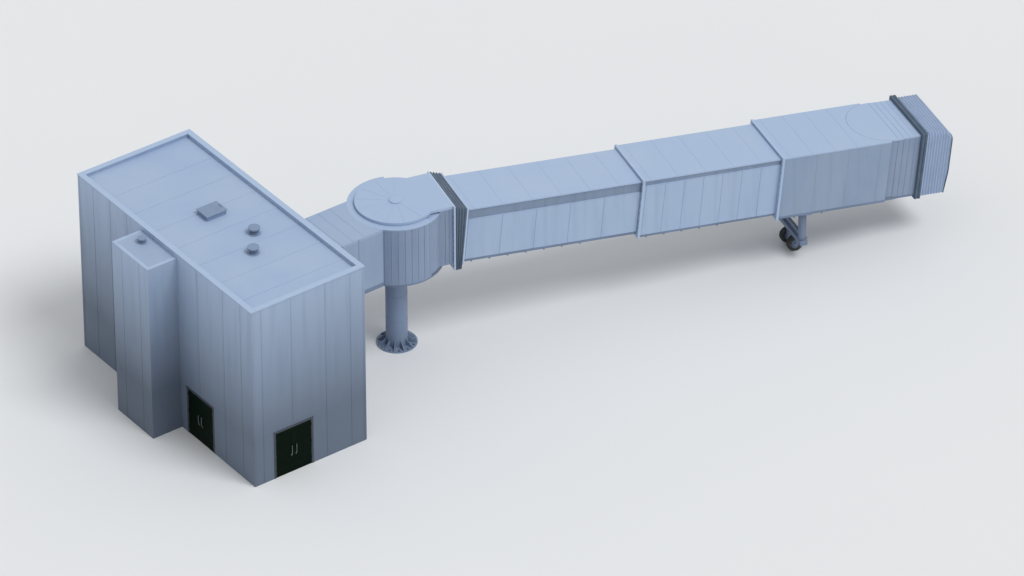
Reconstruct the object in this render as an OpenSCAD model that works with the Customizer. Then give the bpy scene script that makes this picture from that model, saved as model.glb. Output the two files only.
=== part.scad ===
// Apron-drive jet bridge with its gate block.
// Origin on the ground at the rotunda column's axis, +X along the tunnels, +Z up, millimetres.

/* [Gate block] */
// Turn of the block and link from the tunnels' line at rest, in degrees
block_turn = 13.5; // [6:0.5:18]
// Column axis to the block's east face
block_gap = 4940; // [4400:20:6000]
// Block size along the link
block_depth = 5400; // [4800:50:6500]
// Block size across the link
block_length = 12100; // [11000:50:14000]
// South face of the block to the link's centre line
block_south = 4780; // [4400:20:5400]
// Height of the walls
block_height = 8360; // [7900:20:9200]
// Thickness of the block's walls
wall_t = 200; // [140:10:260]
// Depth of the roof below the walls' top
parapet_drop = 150; // [80:10:300]
// Thickness of the floors and roof slab
slab_t = 200; // [140:10:260]
// Height of the parapet coping
coping_h = 40; // [25:5:80]
// Overhang of the parapet coping on each side
coping_lip = 25; // [10:5:60]

/* [Roof items] */
// Length of the roof hatch
hatch_l = 900; // [700:20:1200]
// Width of the roof hatch
hatch_w = 700; // [600:20:900]
// Height of the roof hatch
hatch_h = 200; // [120:10:300]
// West face of the block to the middle of the hatch
hatch_at = 2830; // [2000:10:3600]
// Middle of the hatch, north of the link's centre line
hatch_north = 2000; // [1000:20:4000]
// Radius of a roof cowl's pipe
cowl_r = 160; // [120:10:220]
// Height of a roof cowl's pipe
cowl_h = 220; // [160:10:320]
// West face of the block to the first cowl
cowl_at = 2600; // [2000:10:3000]
// First cowl, south of the link's centre line
cowl_south = 1200; // [800:20:3000]
// First cowl to the second, towards east
cowl_step_x = 810; // [700:10:1200]
// First cowl to the second, towards north
cowl_step_y = 1100; // [700:20:2000]

/* [Annex] */
// How far the annex stands out from the west face
annex_out = 1400; // [900:20:1800]
// South edge of the annex, north of the link's centre line
annex_south = 320; // [250:10:600]
// Length of the annex
annex_length = 2500; // [1800:20:3200]
// Top of the annex below the block's walls
annex_drop = 200; // [60:20:1200]
// Thickness of the annex walls
annex_wall_t = 150; // [100:10:200]

/* [Doors] */
// Width of each double door's opening
door_w = 1700; // [1500:20:1900]
// Height of the door openings
door_h = 2150; // [2000:10:2400]
// Thickness of a door leaf
leaf_t = 50; // [40:2:60]
// South edge of the block to the middle of the west door
west_door_at = 3750; // [3000:10:3900]
// West face of the block to the middle of the south door
south_door_at = 1880; // [1500:10:3000]
// Clear width of the upper walkway doorway in the north wall
walkway_w = 2000; // [1400:20:2600]
// West face of the block to the middle of the walkway doorway
walkway_at = 1800; // [1700:10:3000]
// Clear height of the upper doorways
upper_door_h = 2300; // [2100:10:2350]

/* [Link and rotunda] */
// Height of the upper floor above the ground
floor_z = 4250; // [4100:10:4500]
// Outer width of the link corridor
link_w = 2500; // [2200:20:2700]
// Thickness of the link's walls
link_wall_t = 80; // [60:5:120]
// Top of the link's roof above the ground
link_top = 6800; // [6760:10:7000]
// Thickness of the link's roof
link_roof_t = 120; // [80:10:160]
// Radius of the rotunda drum
drum_r = 1950; // [1900:10:2000]
// Thickness of the drum's fixed shell
drum_t = 45; // [30:5:60]
// Radius of the raised turning roof
turning_roof_r = 1650; // [1550:10:1750]
// Thickness of the turning roof
turning_roof_t = 120; // [80:10:160]
// Furthest swing towards north, in degrees
swing_north = 38; // [30:1:38]
// Furthest swing towards south, in degrees
swing_south = 21; // [10:1:21]

/* [Column] */
// Radius of the column
column_r = 450; // [400:10:500]
// Radius of the foot plate
foot_r = 850; // [750:10:950]
// Thickness of the foot plate
foot_t = 40; // [30:5:60]
// Diameter of the anchor bolt circle
anchor_pcd = 1500; // [1300:10:1600]
// Radius of an anchor bolt hole
anchor_hole_r = 22; // [15:1:30]
// Number of anchor bolts
anchor_count = 12; // [8:2:16]
// Radius of the slewing collar
collar_r = 700; // [620:10:780]
// Height of the slewing collar
collar_h = 440; // [380:10:480]

/* [Tunnels] */
// Height of the vestibule's floor above the pitch pins
pin_drop = 240; // [220:5:260]
// Slope of the tunnels at rest, in degrees
slope = 5; // [4.5:0.1:5.5]
// Outer width of tunnel A
tunnel_w = 2600; // [2560:10:2640]
// Outer height of tunnel A
tunnel_h = 2500; // [2400:10:2520]
// Thickness of the tunnels' walls and roofs
skin_t = 60; // [40:5:60]
// Thickness of the tunnels' floors
deck_t = 120; // [90:5:130]
// Side clearance between one tunnel and the next
nest_side = 60; // [45:5:70]
// Clearance above and below between one tunnel and the next
nest_up = 30; // [25:5:40]
// Height of the recessed band at the top of tunnel A's sides
band_a_h = 430; // [250:10:500]
// Height of the recessed band at the top of tunnel B's sides
band_b_h = 200; // [100:10:300]
// Depth of the recessed bands
band_in = 35; // [15:5:45]
// Outboard end of tunnel A from the pitch pins
a_end = 9600; // [9200:50:10000]
// Inboard end of tunnel B
b_start = 8000; // [7800:50:8200]
// Outboard end of tunnel B
b_end = 15800; // [15500:50:15900]
// Inboard end of tunnel C
c_start = 14200; // [14000:50:14400]
// Length of the portal collars on tunnels B and C
portal_l = 100; // [60:10:160]
// How far the portal collars stand proud of their tunnel
portal_out = 30; // [15:5:60]
// Slot between a portal collar and the tunnel inside, which the side ribs pass
collar_slot = 35; // [30:1:40]
// Width of the ribs pressed in the side sheets
rib_w = 70; // [50:5:90]
// How far the ribs stand proud of the sheets
rib_out = 18; // [10:1:22]
// Spacing of the ribs on tunnel A
rib_step_a = 1500; // [1200:20:1800]
// Spacing of the ribs on tunnel B
rib_step_b = 860; // [700:20:1200]
// Spacing of the ribs on the cab
rib_step_cab = 260; // [200:10:300]

/* [Cab] */
// Cab axis from the pitch pins
cab_at = 19350; // [19250:10:19500]
// Furthest turn of the cab each way, in degrees
cab_turn = 25; // [10:1:25]
// Outboard end of tunnel C to the cab axis
cab_back = 280; // [270:5:320]
// Outer width of the cab
cab_w = 2900; // [2840:10:2920]
// Thickness of the cab's walls
cab_wall_t = 50; // [40:5:60]
// Cab axis to the dark seal ring
ring_at = 1100; // [1000:10:1200]
// Length of the seal ring along the tunnel
ring_l = 250; // [150:10:300]
// How far the seal ring stands proud of the cab
ring_out = 160; // [130:5:200]
// Cab axis to the nose of the cab
nose_at = 2300; // [2200:10:2400]
// Length of the canopy
canopy_l = 1180; // [1000:10:1250]
// Thickness of the canopy's shell
canopy_t = 50; // [30:5:60]
// Side clearance of the canopy over the cab
canopy_gap = 70; // [50:5:90]
// Length of the chamfer at the canopy's front
canopy_chamfer = 320; // [100:10:450]

/* [Drive column] */
// Drive column from the pitch pins
drive_at = 15600; // [15300:50:16000]
// Distance of each lift leg from the centre line
leg_y = 1000; // [900:10:1100]
// Outer radius of a lift tube
leg_tube_r = 170; // [150:5:190]
// How far the flange stands out at the foot of a lift tube
flange_out = 35; // [20:1:45]
// Thickness of that flange
flange_t = 30; // [20:1:40]
// Radius of an inner lift leg
leg_r = 130; // [110:5:140]
// Radius of the tyres
wheel_r = 360; // [320:5:400]
// Width of a tyre
wheel_w = 240; // [200:5:280]
// Distance of each wheel's middle from the bogie's axis
wheel_y = 340; // [300:5:380]
// Radius of the axle
axle_r = 55; // [40:5:70]

/* [Hidden] */
$fn = 64;
// Running clearance of pins, shafts and slides
run_gap = 0.3;
// Clearance of moving pieces that pass each other
pass_gap = 10;

// Block corners in the block's own frame, where the link runs along X
west_x = -block_gap - block_depth;
east_x = -block_gap;
south_y = -block_south;
north_y = block_length - block_south;
west_door_y = south_y + west_door_at;
south_door_x = west_x + south_door_at;
walkway_x = west_x + walkway_at;
roof_top = block_height - parapet_drop;
annex_height = block_height - annex_drop;

// Door hinges: the knuckles' axis stands just outside the wall, in line with the jamb
hinge_out = 15;
hinge_r = 14;
knuckle_h = 60;
hinge_heights = [door_h * 0.14, door_h * 0.51, door_h * 0.88];
leaf_gap = 6;
leaf_low = 12;
stop_t = 60;

// Drum levels and radii, from the ground up
base_t = 80;
base_z = floor_z - slab_t;
base_top = base_z + base_t;
curtain_r = drum_r - drum_t - 15;
curtain_t = 40;
floor_r = curtain_r - curtain_t - pass_gap;
rim_t = 60;
rail_t = 35;
curtain_top = link_top - rim_t - pass_gap - rail_t;
rim_ring_r = turning_roof_r - 170;
roof_z = link_top + pass_gap;
roof_z_top = roof_z + turning_roof_t;

// Angles of the drum: half of the link's mouth, half of the vestibule's, and what lies between
vestibule_w = tunnel_w;
vestibule_wall_t = 120;
link_half = asin(link_w / 2 / drum_r);
vestibule_half = asin(vestibule_w / 2 / drum_r);
sector_clear = 2;
gap_north = 180 + block_turn - link_half - vestibule_half;
gap_south = 180 - block_turn - link_half - vestibule_half;
shell_north = gap_north - swing_north - sector_clear;
shell_south = gap_south - swing_south - sector_clear;
// Where the curtains start beside the vestibule
mouth_half = vestibule_w / 2 - vestibule_wall_t;
curtain_jamb = asin(mouth_half / (curtain_r - curtain_t)) + 0.5;

// Vestibule portal, seal and pitch pins
portal_x = drum_r + 20;
portal_t = 70;
seal_x = portal_x + portal_t;
seal_l = 250;
seal_side = 150;
portal_side = 100;
portal_drop = 180;
portal_head = 200;
pitch_x = seal_x + 110;
pitch_z = floor_z - pin_drop;
pin_over = 15;
threshold_reach = 140;
pin_r = 40;
lug_r = 75;
lug_y = 900;
lug_t = 60;
ear_t = 40;
ear_gap = 5;

// Tunnel sections in the tunnels' frame: U along, V across, W up from the pitch pins
a_start = -60;
a_half = tunnel_w / 2;
a_low = pin_drop - deck_t;
a_top = a_low + tunnel_h;
collar_a_u = 160;
collar_a_out = 110;
b_half = a_half + nest_side + skin_t;
b_deck = a_low - 20;
b_low = b_deck - deck_t + 20;
b_top = a_top + nest_up + skin_t;
c_half = b_half + nest_side + 20 + skin_t;
c_deck = b_low - 20;
c_low = c_deck - deck_t + 10;
c_top = b_top + nest_up + skin_t;
c_end = cab_at - cab_back;
// Ends of the ribs, from the edges of their sheet
rib_in = 30;
// Wear pads, across the tunnels and along them, and the ramps at the tunnels' outboard ends
pad_from = 600;
pad_to = 900;
pad_l = 160;
nose_gap = 6;
nose_t = 6;
ramp_a_l = 900;
ramp_b_l = 420;
ramp_b_half = 540;
cab_half = cab_w / 2;
socket_r = cab_half + 50;
cab_disc_r = socket_r - pass_gap;
pivot_r = 90;
pivot_h = 70;
canopy_rise = 40;
rail_y = 900;

// Trunnion of the drive column in the row's frame
trunnion_w = c_low - 120;
trunnion_x = pitch_x + drive_at * cos(slope) + trunnion_w * sin(slope);
trunnion_z = pitch_z - drive_at * sin(slope) + trunnion_w * cos(slope);
trunnion_r = 70;
trunnion_eye_t = 140;
beam_z = 2 * wheel_r + 40;
beam_h = 220;
beam_over = 200;
tube_top = trunnion_z - 2 * trunnion_r;

roof_blue = [0.60, 0.69, 0.81];
side_blue = [0.57, 0.66, 0.77];
frame_blue = [0.64, 0.72, 0.82];
steel_blue = [0.46, 0.53, 0.62];
dark_seal = [0.24, 0.28, 0.33];
door_black = [0.08, 0.10, 0.11];
floor_grey = [0.42, 0.44, 0.46];

// A box between two opposite corners
module span(low, high) {
    translate(low) cube(high - low);
}

// The frame of the block and link, turned about the column's axis
module in_block() {
    rotate([0, 0, block_turn]) children();
}

// The frame of the sloping tunnels, at the pitch pins
module in_tunnel() {
    translate([pitch_x, 0, pitch_z]) rotate([0, slope, 0]) children();
}

// The same piece on the north and on the south side
module both_sides() {
    children();
    mirror([0, 1, 0]) children();
}

// A curved band about Z from one angle, through a sweep
module arc_band(r_in, r_out, z_low, z_high, from, sweep) {
    rotate([0, 0, from])
        rotate_extrude(angle = sweep, $fn = 256)
            translate([r_in, z_low]) square([r_out - r_in, z_high - z_low]);
}

// A rectangular frame across the tunnel, open inside
module frame_ring(u_low, u_high, out_half, out_low, out_high, in_half, in_low, in_high) {
    difference() {
        span([u_low, -out_half, out_low], [u_high, out_half, out_high]);
        span([u_low - 1, -in_half, in_low], [u_high + 1, in_half, in_high]);
    }
}

module ground_floor() {
    ground_floor_t = 120;
    color(floor_grey) in_block()
        span([west_x + wall_t, south_y + wall_t, 0], [east_x - wall_t, north_y - wall_t, ground_floor_t]);
}

module west_wall() {
    color(side_blue) in_block() {
        span([west_x, south_y, 0], [west_x + wall_t, west_door_y - door_w / 2, block_height]);
        span([west_x, west_door_y + door_w / 2, 0], [west_x + wall_t, north_y, block_height]);
    }
}

module south_wall() {
    color(side_blue) in_block() {
        span([west_x + wall_t, south_y, 0],
             [south_door_x - door_w / 2, south_y + wall_t, block_height]);
        span([south_door_x + door_w / 2, south_y, 0],
             [east_x - wall_t, south_y + wall_t, block_height]);
    }
}

module door_lintels() {
    color(side_blue) in_block() {
        span([west_x, west_door_y - door_w / 2, door_h],
             [west_x + wall_t, west_door_y + door_w / 2, block_height]);
        span([south_door_x - door_w / 2, south_y, door_h],
             [south_door_x + door_w / 2, south_y + wall_t, block_height]);
    }
}

module east_wall() {
    mouth = link_w / 2 - link_wall_t;
    color(side_blue) in_block() difference() {
        span([east_x - wall_t, south_y, 0], [east_x, north_y, block_height]);
        span([east_x - wall_t - 1, -mouth, floor_z], [east_x + 1, mouth, floor_z + upper_door_h]);
    }
}

module north_wall() {
    color(side_blue) in_block() difference() {
        span([west_x + wall_t, north_y - wall_t, 0], [east_x - wall_t, north_y, block_height]);
        span([walkway_x - walkway_w / 2, north_y - wall_t - 1, floor_z],
             [walkway_x + walkway_w / 2, north_y + 1, floor_z + upper_door_h]);
    }
}

// A slab that fills the inside of the block, with its top at a level
module block_slab(top) {
    in_block() span([west_x + wall_t, south_y + wall_t, top - slab_t],
                    [east_x - wall_t, north_y - wall_t, top]);
}

module upper_floor() {
    color(floor_grey) block_slab(floor_z);
}

module block_roof() {
    color(roof_blue) block_slab(roof_top);
}

module parapet_coping() {
    joint = 3;
    low = block_height;
    high = block_height + coping_h;
    inside = wall_t + coping_lip;
    color(frame_blue) in_block() {
        for (x = [west_x - coping_lip, east_x - wall_t - coping_lip])
            span([x, south_y - coping_lip, low], [x + wall_t + 2 * coping_lip, north_y + coping_lip, high]);
        for (y = [south_y - coping_lip, north_y - wall_t - coping_lip])
            span([west_x + inside + joint, y, low],
                 [east_x - inside - joint, y + wall_t + 2 * coping_lip, high]);
    }
}

// A round roof cowl: a pipe with a wider cap
module cowl(pipe_r, pipe_h) {
    cap_h = 60;
    cylinder(r = pipe_r, h = pipe_h);
    translate([0, 0, pipe_h]) cylinder(r = pipe_r * 1.5, h = cap_h);
}

module roof_vents() {
    first = [west_x + cowl_at, -cowl_south, roof_top];
    color(steel_blue) in_block() {
        translate([west_x + hatch_at - hatch_l / 2, hatch_north - hatch_w / 2, roof_top])
            cube([hatch_l, hatch_w, hatch_h]);
        translate(first) cowl(cowl_r, cowl_h);
        translate(first + [cowl_step_x, cowl_step_y, 0]) cowl(cowl_r, cowl_h);
        translate([west_x - annex_out / 3, annex_south + annex_length * 0.7, annex_height])
            cowl(cowl_r * 0.75, cowl_h * 0.75);
    }
}

module annex_walls() {
    y_low = annex_south;
    y_high = annex_south + annex_length;
    color(side_blue) in_block() difference() {
        span([west_x - annex_out, y_low, 0], [west_x, y_high, annex_height]);
        span([west_x - annex_out + annex_wall_t, y_low + annex_wall_t, -1],
             [west_x + 1, y_high - annex_wall_t, annex_height + 1]);
    }
}

module annex_roof() {
    annex_roof_t = 120;
    color(roof_blue) in_block()
        span([west_x - annex_out + annex_wall_t, annex_south + annex_wall_t, annex_height - annex_roof_t],
             [west_x, annex_south + annex_length - annex_wall_t, annex_height]);
}

// The frame of one door, in its own frame: X into the wall, Y across, middle of the opening at 0
module door_frame() {
    half = door_w / 2;
    trim_in = hinge_r + 6;
    trim_w = 80;
    trim_t = 12;
    stop_x = leaf_t + 5;
    stop_w = 40;
    difference() {
        span([stop_x, -half, 0], [stop_x + stop_t, half, door_h]);
        span([stop_x - 1, -half + stop_w, -1], [stop_x + stop_t + 1, half - stop_w, door_h - stop_w]);
    }
    both_sides() {
        span([-trim_t, half + trim_in, 0], [0, half + trim_in + trim_w, door_h]);
        for (z = hinge_heights) {
            translate([-hinge_out, half, z - knuckle_h]) cylinder(r = hinge_r, h = knuckle_h, $fn = 24);
            span([-trim_t, half + 2, z - knuckle_h], [-1, half + trim_in + 1, z]);
        }
    }
}

// The leaf on the door's +Y side, hung on its knuckles
module door_leaf() {
    half = door_w / 2;
    span([0, leaf_gap / 2, leaf_low], [leaf_t, half - leaf_gap, door_h - leaf_gap]);
    for (z = hinge_heights) {
        translate([-hinge_out, half, z + run_gap]) cylinder(r = hinge_r, h = knuckle_h, $fn = 24);
        span([-hinge_out + 3, half - 90, z + run_gap], [0.5, half - 4, z + knuckle_h]);
    }
}

module at_west_door() {
    in_block() translate([west_x, west_door_y, 0]) children();
}

module at_south_door() {
    in_block() translate([south_door_x, south_y, 0]) rotate([0, 0, 90]) children();
}

module door_frames() {
    color(steel_blue) {
        at_west_door() door_frame();
        at_south_door() door_frame();
    }
}

module west_door_north() {
    color(door_black) at_west_door() door_leaf();
}

module west_door_south() {
    color(door_black) at_west_door() mirror([0, 1, 0]) door_leaf();
}

module south_door_west() {
    color(door_black) at_south_door() door_leaf();
}

module south_door_east() {
    color(door_black) at_south_door() mirror([0, 1, 0]) door_leaf();
}

// What the link keeps clear of: the drum's cylinder
module drum_core(z_low, z_high) {
    translate([0, 0, z_low]) cylinder(r = drum_r + run_gap, h = z_high - z_low, $fn = 256);
}

module link_floor() {
    half = link_w / 2;
    mouth = half - link_wall_t;
    color(floor_grey) in_block() {
        difference() {
            span([east_x, -half, base_z], [-drum_r / 2, half, floor_z]);
            drum_core(base_z - 1, floor_z + 1);
        }
        // Sill over the drum's base, up to the rotunda's own floor
        difference() {
            span([-drum_r - 20, -mouth, base_top + run_gap], [-drum_r / 2, mouth, floor_z]);
            translate([0, 0, base_top]) cylinder(r = floor_r + run_gap, h = floor_z, $fn = 256);
        }
    }
}

module link_walls() {
    half = link_w / 2;
    color(side_blue) in_block() both_sides() difference() {
        span([east_x, half - link_wall_t, floor_z], [-drum_r / 2, half, link_top - link_roof_t]);
        drum_core(floor_z - 1, link_top);
    }
}

module link_roof() {
    half = link_w / 2;
    color(roof_blue) in_block() difference() {
        span([east_x, -half, link_top - link_roof_t], [-drum_r / 2, half, link_top]);
        drum_core(link_top - link_roof_t - 1, link_top + 1);
    }
}

module column() {
    shoulder_h = 60;
    collar_z = base_z - pass_gap - collar_h;
    rib_h = 320;
    rib_t = 24;
    color(steel_blue) {
        difference() {
            cylinder(r = foot_r, h = foot_t, $fn = 96);
            for (i = [0 : anchor_count - 1])
                rotate([0, 0, (i + 0.5) * 360 / anchor_count])
                    translate([anchor_pcd / 2, 0, -1]) cylinder(r = anchor_hole_r, h = foot_t + 2, $fn = 24);
        }
        cylinder(r = column_r, h = base_z, $fn = 96);
        translate([0, 0, collar_z - run_gap - shoulder_h]) cylinder(r = collar_r, h = shoulder_h, $fn = 96);
        for (i = [0 : anchor_count - 1])
            rotate([0, 0, i * 360 / anchor_count]) rotate([90, 0, 0])
                translate([0, 0, -rib_t / 2]) linear_extrude(rib_t)
                    polygon([[column_r - 5, foot_t - 5], [foot_r - 40, foot_t - 5],
                             [foot_r - 40, foot_t + 40], [column_r - 5, foot_t + rib_h]]);
    }
}

module rotunda_floor() {
    color(floor_grey) {
        translate([0, 0, base_z]) cylinder(r = drum_r, h = base_t, $fn = 256);
        translate([0, 0, base_top]) cylinder(r = floor_r, h = floor_z - base_top, $fn = 256);
    }
}

module drum_shell() {
    sill = 180 - link_half;
    shell_top = link_top - rim_t + 1;
    color(side_blue) in_block() {
        arc_band(drum_r - drum_t, drum_r, base_top + run_gap, shell_top, sill - shell_north, shell_north);
        arc_band(drum_r - drum_t, drum_r, base_top + run_gap, shell_top, 180 + link_half, shell_south);
        arc_band(rim_ring_r + pass_gap, drum_r, link_top - rim_t, link_top,
                 sill - shell_north, shell_north + 2 * link_half + shell_south);
    }
}

module slewing_collar() {
    collar_z = base_z - pass_gap - collar_h;
    arm_y = 480;
    arm_t = 140;
    arm_from = column_r - 150;
    arm_top = base_z - pass_gap - 5;
    color(steel_blue) {
        difference() {
            union() {
                translate([0, 0, collar_z]) cylinder(r = collar_r, h = collar_h, $fn = 96);
                both_sides() translate([0, arm_y + arm_t / 2, 0]) rotate([90, 0, 0]) linear_extrude(arm_t)
                    polygon([[arm_from, collar_z + 40], [collar_r, collar_z + 40],
                             [portal_x, base_z - portal_drop + 10], [portal_x, arm_top],
                             [arm_from, arm_top]]);
            }
            translate([0, 0, collar_z - 1]) cylinder(r = column_r + run_gap, h = collar_h + 2, $fn = 96);
        }
    }
}

module vestibule_floor() {
    color(floor_grey) difference() {
        span([drum_r / 2, -mouth_half, base_top + pass_gap], [portal_x, mouth_half, floor_z]);
        translate([0, 0, base_top]) cylinder(r = floor_r + pass_gap, h = floor_z, $fn = 256);
    }
}

// The plate over the pitch gap: fixed on the vestibule, it passes over the tunnel's floor
module threshold_plate() {
    half = mouth_half - run_gap;
    plate_t = 8;
    low = floor_z + 12;
    back = 60;
    color(steel_blue) {
        span([portal_x - back, -half, floor_z + run_gap], [seal_x, half, low + 1]);
        span([portal_x - back, -half, low], [pitch_x + threshold_reach, half, low + plate_t]);
    }
}

module vestibule_portal() {
    half = vestibule_w / 2 + portal_side;
    ears = [lug_y - lug_t / 2 - ear_gap - ear_t, lug_y + lug_t / 2 + ear_gap];
    pin_l = lug_t + 2 * (ear_gap + ear_t + pin_over);
    color(frame_blue) {
        frame_ring(portal_x, seal_x, half, base_z - portal_drop, roof_z_top, mouth_half, floor_z,
                   roof_z - portal_head);
        both_sides() for (y = ears)
            translate([0, y + ear_t, 0]) rotate([90, 0, 0]) linear_extrude(ear_t) {
                translate([pitch_x, pitch_z]) circle(r = lug_r);
                translate([seal_x - 1, pitch_z - lug_r]) square([pitch_x - seal_x + 1, 2 * lug_r]);
            }
        both_sides() translate([pitch_x, lug_y + pin_l / 2, pitch_z]) rotate([90, 0, 0])
            cylinder(r = pin_r, h = pin_l);
    }
}

module vestibule_walls() {
    half = vestibule_w / 2;
    rib_step = 2.5 * rib_w;
    color(side_blue) {
        both_sides() difference() {
            span([drum_r / 2, mouth_half, base_top + pass_gap], [portal_x, half, roof_z]);
            translate([0, 0, base_z]) cylinder(r = curtain_r + run_gap, h = link_top, $fn = 256);
        }
        side_ribs(portal_x - 2 * rib_step, portal_x - rib_w, rib_step, half, floor_z, roof_z - rib_in);
    }
}

module drum_curtains() {
    low = base_top + pass_gap;
    sweep_north = vestibule_half + shell_north - curtain_jamb;
    sweep_south = vestibule_half + shell_south - curtain_jamb;
    color(side_blue) {
        arc_band(curtain_r - curtain_t, curtain_r, low, curtain_top, curtain_jamb, sweep_north);
        arc_band(curtain_r - curtain_t, curtain_r, low, curtain_top,
                 -curtain_jamb - sweep_south, sweep_south);
    }
}

module turning_roof() {
    half = vestibule_w / 2;
    rim_ring_t = 60;
    rail_from = -vestibule_half - shell_south;
    rail_sweep = 2 * vestibule_half + shell_north + shell_south;
    color(roof_blue) {
        // The disc with the rim that hangs below it
        rotate_extrude($fn = 256)
            polygon([[0, roof_z], [rim_ring_r - rim_ring_t, roof_z], [rim_ring_r - rim_ring_t, curtain_top],
                     [rim_ring_r, curtain_top], [rim_ring_r, roof_z], [turning_roof_r, roof_z],
                     [turning_roof_r, roof_z_top], [0, roof_z_top]]);
        span([0, -half, roof_z], [portal_x, half, roof_z_top]);
        // The rail that carries the curtains
        arc_band(rim_ring_r - rim_ring_t / 2, curtain_r, curtain_top, curtain_top + rail_t,
                 rail_from, rail_sweep);
    }
}

module tunnel_seal() {
    lip = 25;
    clear = 20;
    color(dark_seal)
        frame_ring(seal_x, seal_x + seal_l, a_half + seal_side, base_z - portal_drop - lip, roof_z_top + lip,
                   a_half + clear, pitch_z - lug_r - pass_gap, pitch_z + a_top + 2 * clear);
}

// Upright ribs pressed outwards in the side sheets, a step apart, on both sides
module side_ribs(first, last, step, half, low, high) {
    edge = rib_out / 2;
    both_sides() for (at = [first : step : last])
        translate([at, half - 1, low]) linear_extrude(high - low)
            polygon([[0, 0], [rib_w, 0], [rib_w, 1], [rib_w - edge, rib_out + 1],
                     [edge, rib_out + 1], [0, 1]]);
}

// Two side walls with a recessed band under the roof edge
module side_walls(u_low, u_high, half, w_low, w_high, band) {
    both_sides() translate([u_high, 0, 0]) rotate([90, 0, -90]) linear_extrude(u_high - u_low)
        polygon([[half - skin_t, w_low], [half, w_low], [half, w_high - band],
                 [half - band_in, w_high - band], [half - band_in, w_high], [half - skin_t, w_high]]);
}

// The ramp at a tunnel's outboard end, down to just above the floor that it slides over
module ramp(at, half, high, low, length) {
    tip = low + nose_gap;
    translate([0, half, 0]) rotate([90, 0, 0]) linear_extrude(2 * half)
        polygon([[at - 1, high], [at + length, tip + nose_t], [at + length, tip], [at - 1, tip]]);
}

module tunnel_a_floor() {
    color(floor_grey) in_tunnel() {
        difference() {
            union() {
                span([a_start, -a_half, a_low], [a_end, a_half, a_low + deck_t]);
                both_sides() translate([0, lug_y + lug_t / 2, 0]) rotate([90, 0, 0]) linear_extrude(lug_t) {
                    circle(r = lug_r);
                    translate([-lug_r, 0]) square([2 * lug_r, a_low + 1]);
                }
                both_sides() span([a_end - pad_l, pad_from, b_deck + run_gap], [a_end, pad_to, a_low + 1]);
                ramp(a_end, a_half - skin_t - pass_gap, a_low + deck_t, b_deck, ramp_a_l);
            }
            both_sides() translate([0, lug_y + lug_t, 0]) rotate([90, 0, 0])
                cylinder(r = pin_r + run_gap, h = 2 * lug_t);
        }
    }
}

module tunnel_a_collar() {
    color(frame_blue) in_tunnel()
        frame_ring(collar_a_u, collar_a_u + portal_t, a_half + collar_a_out, a_low - collar_a_out / 2,
                   a_top + collar_a_out, a_half + run_gap, a_low - run_gap, a_top + run_gap);
}

module tunnel_a_walls() {
    low = a_low + deck_t;
    high = a_top - skin_t;
    color(side_blue) in_tunnel() {
        side_walls(a_start, a_end, a_half, low, high, band_a_h);
        side_ribs(collar_a_u + portal_t + rib_w, a_end - 2 * rib_w, rib_step_a, a_half, low + rib_in,
                  high - band_a_h - rib_in);
    }
}

module tunnel_a_roof() {
    color(roof_blue) in_tunnel() span([a_start, -a_half, a_top - skin_t], [a_end, a_half, a_top]);
}

module tunnel_b_floor() {
    pad_back = 40;
    color(floor_grey) in_tunnel() {
        span([b_start, -b_half, b_low], [b_end, b_half, b_deck]);
        both_sides()
            span([b_end - pad_back - pad_l, pad_from, c_deck + run_gap],
                 [b_end - pad_back, pad_to, b_low + 1]);
        ramp(b_end, ramp_b_half, b_deck, c_deck, ramp_b_l);
    }
}

module tunnel_b_walls() {
    high = b_top - skin_t;
    color(side_blue) in_tunnel() {
        side_walls(b_start, b_end, b_half, b_deck, high, band_b_h);
        side_ribs(b_start + rib_w, b_end - 2 * rib_w, rib_step_b, b_half, b_deck + rib_in,
                  high - band_b_h - rib_in);
    }
}

module tunnel_b_roof() {
    color(roof_blue) in_tunnel() span([b_start, -b_half, b_top - skin_t], [b_end, b_half, b_top]);
}

// The portal collar at a tunnel's inboard end, with its wear pads on the tunnel inside
module portal_collar(start, half, low, top, in_half, in_low, in_top) {
    side_pad = [20, 100];
    frame_ring(start - portal_l, start, half + portal_out, low - portal_out, top + portal_out,
               in_half + collar_slot, in_low - pass_gap, in_top + nest_up);
    both_sides() {
        span([start - portal_l, pad_from, in_low - pass_gap - 1], [start, pad_to, in_low - run_gap]);
        span([start - portal_l, in_half + run_gap, in_low + side_pad[0]],
             [start, in_half + collar_slot + 1, in_low + side_pad[1]]);
    }
}

module tunnel_b_collar() {
    color(frame_blue) in_tunnel()
        portal_collar(b_start, b_half, b_low, b_top, a_half, a_low, a_top);
}

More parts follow.
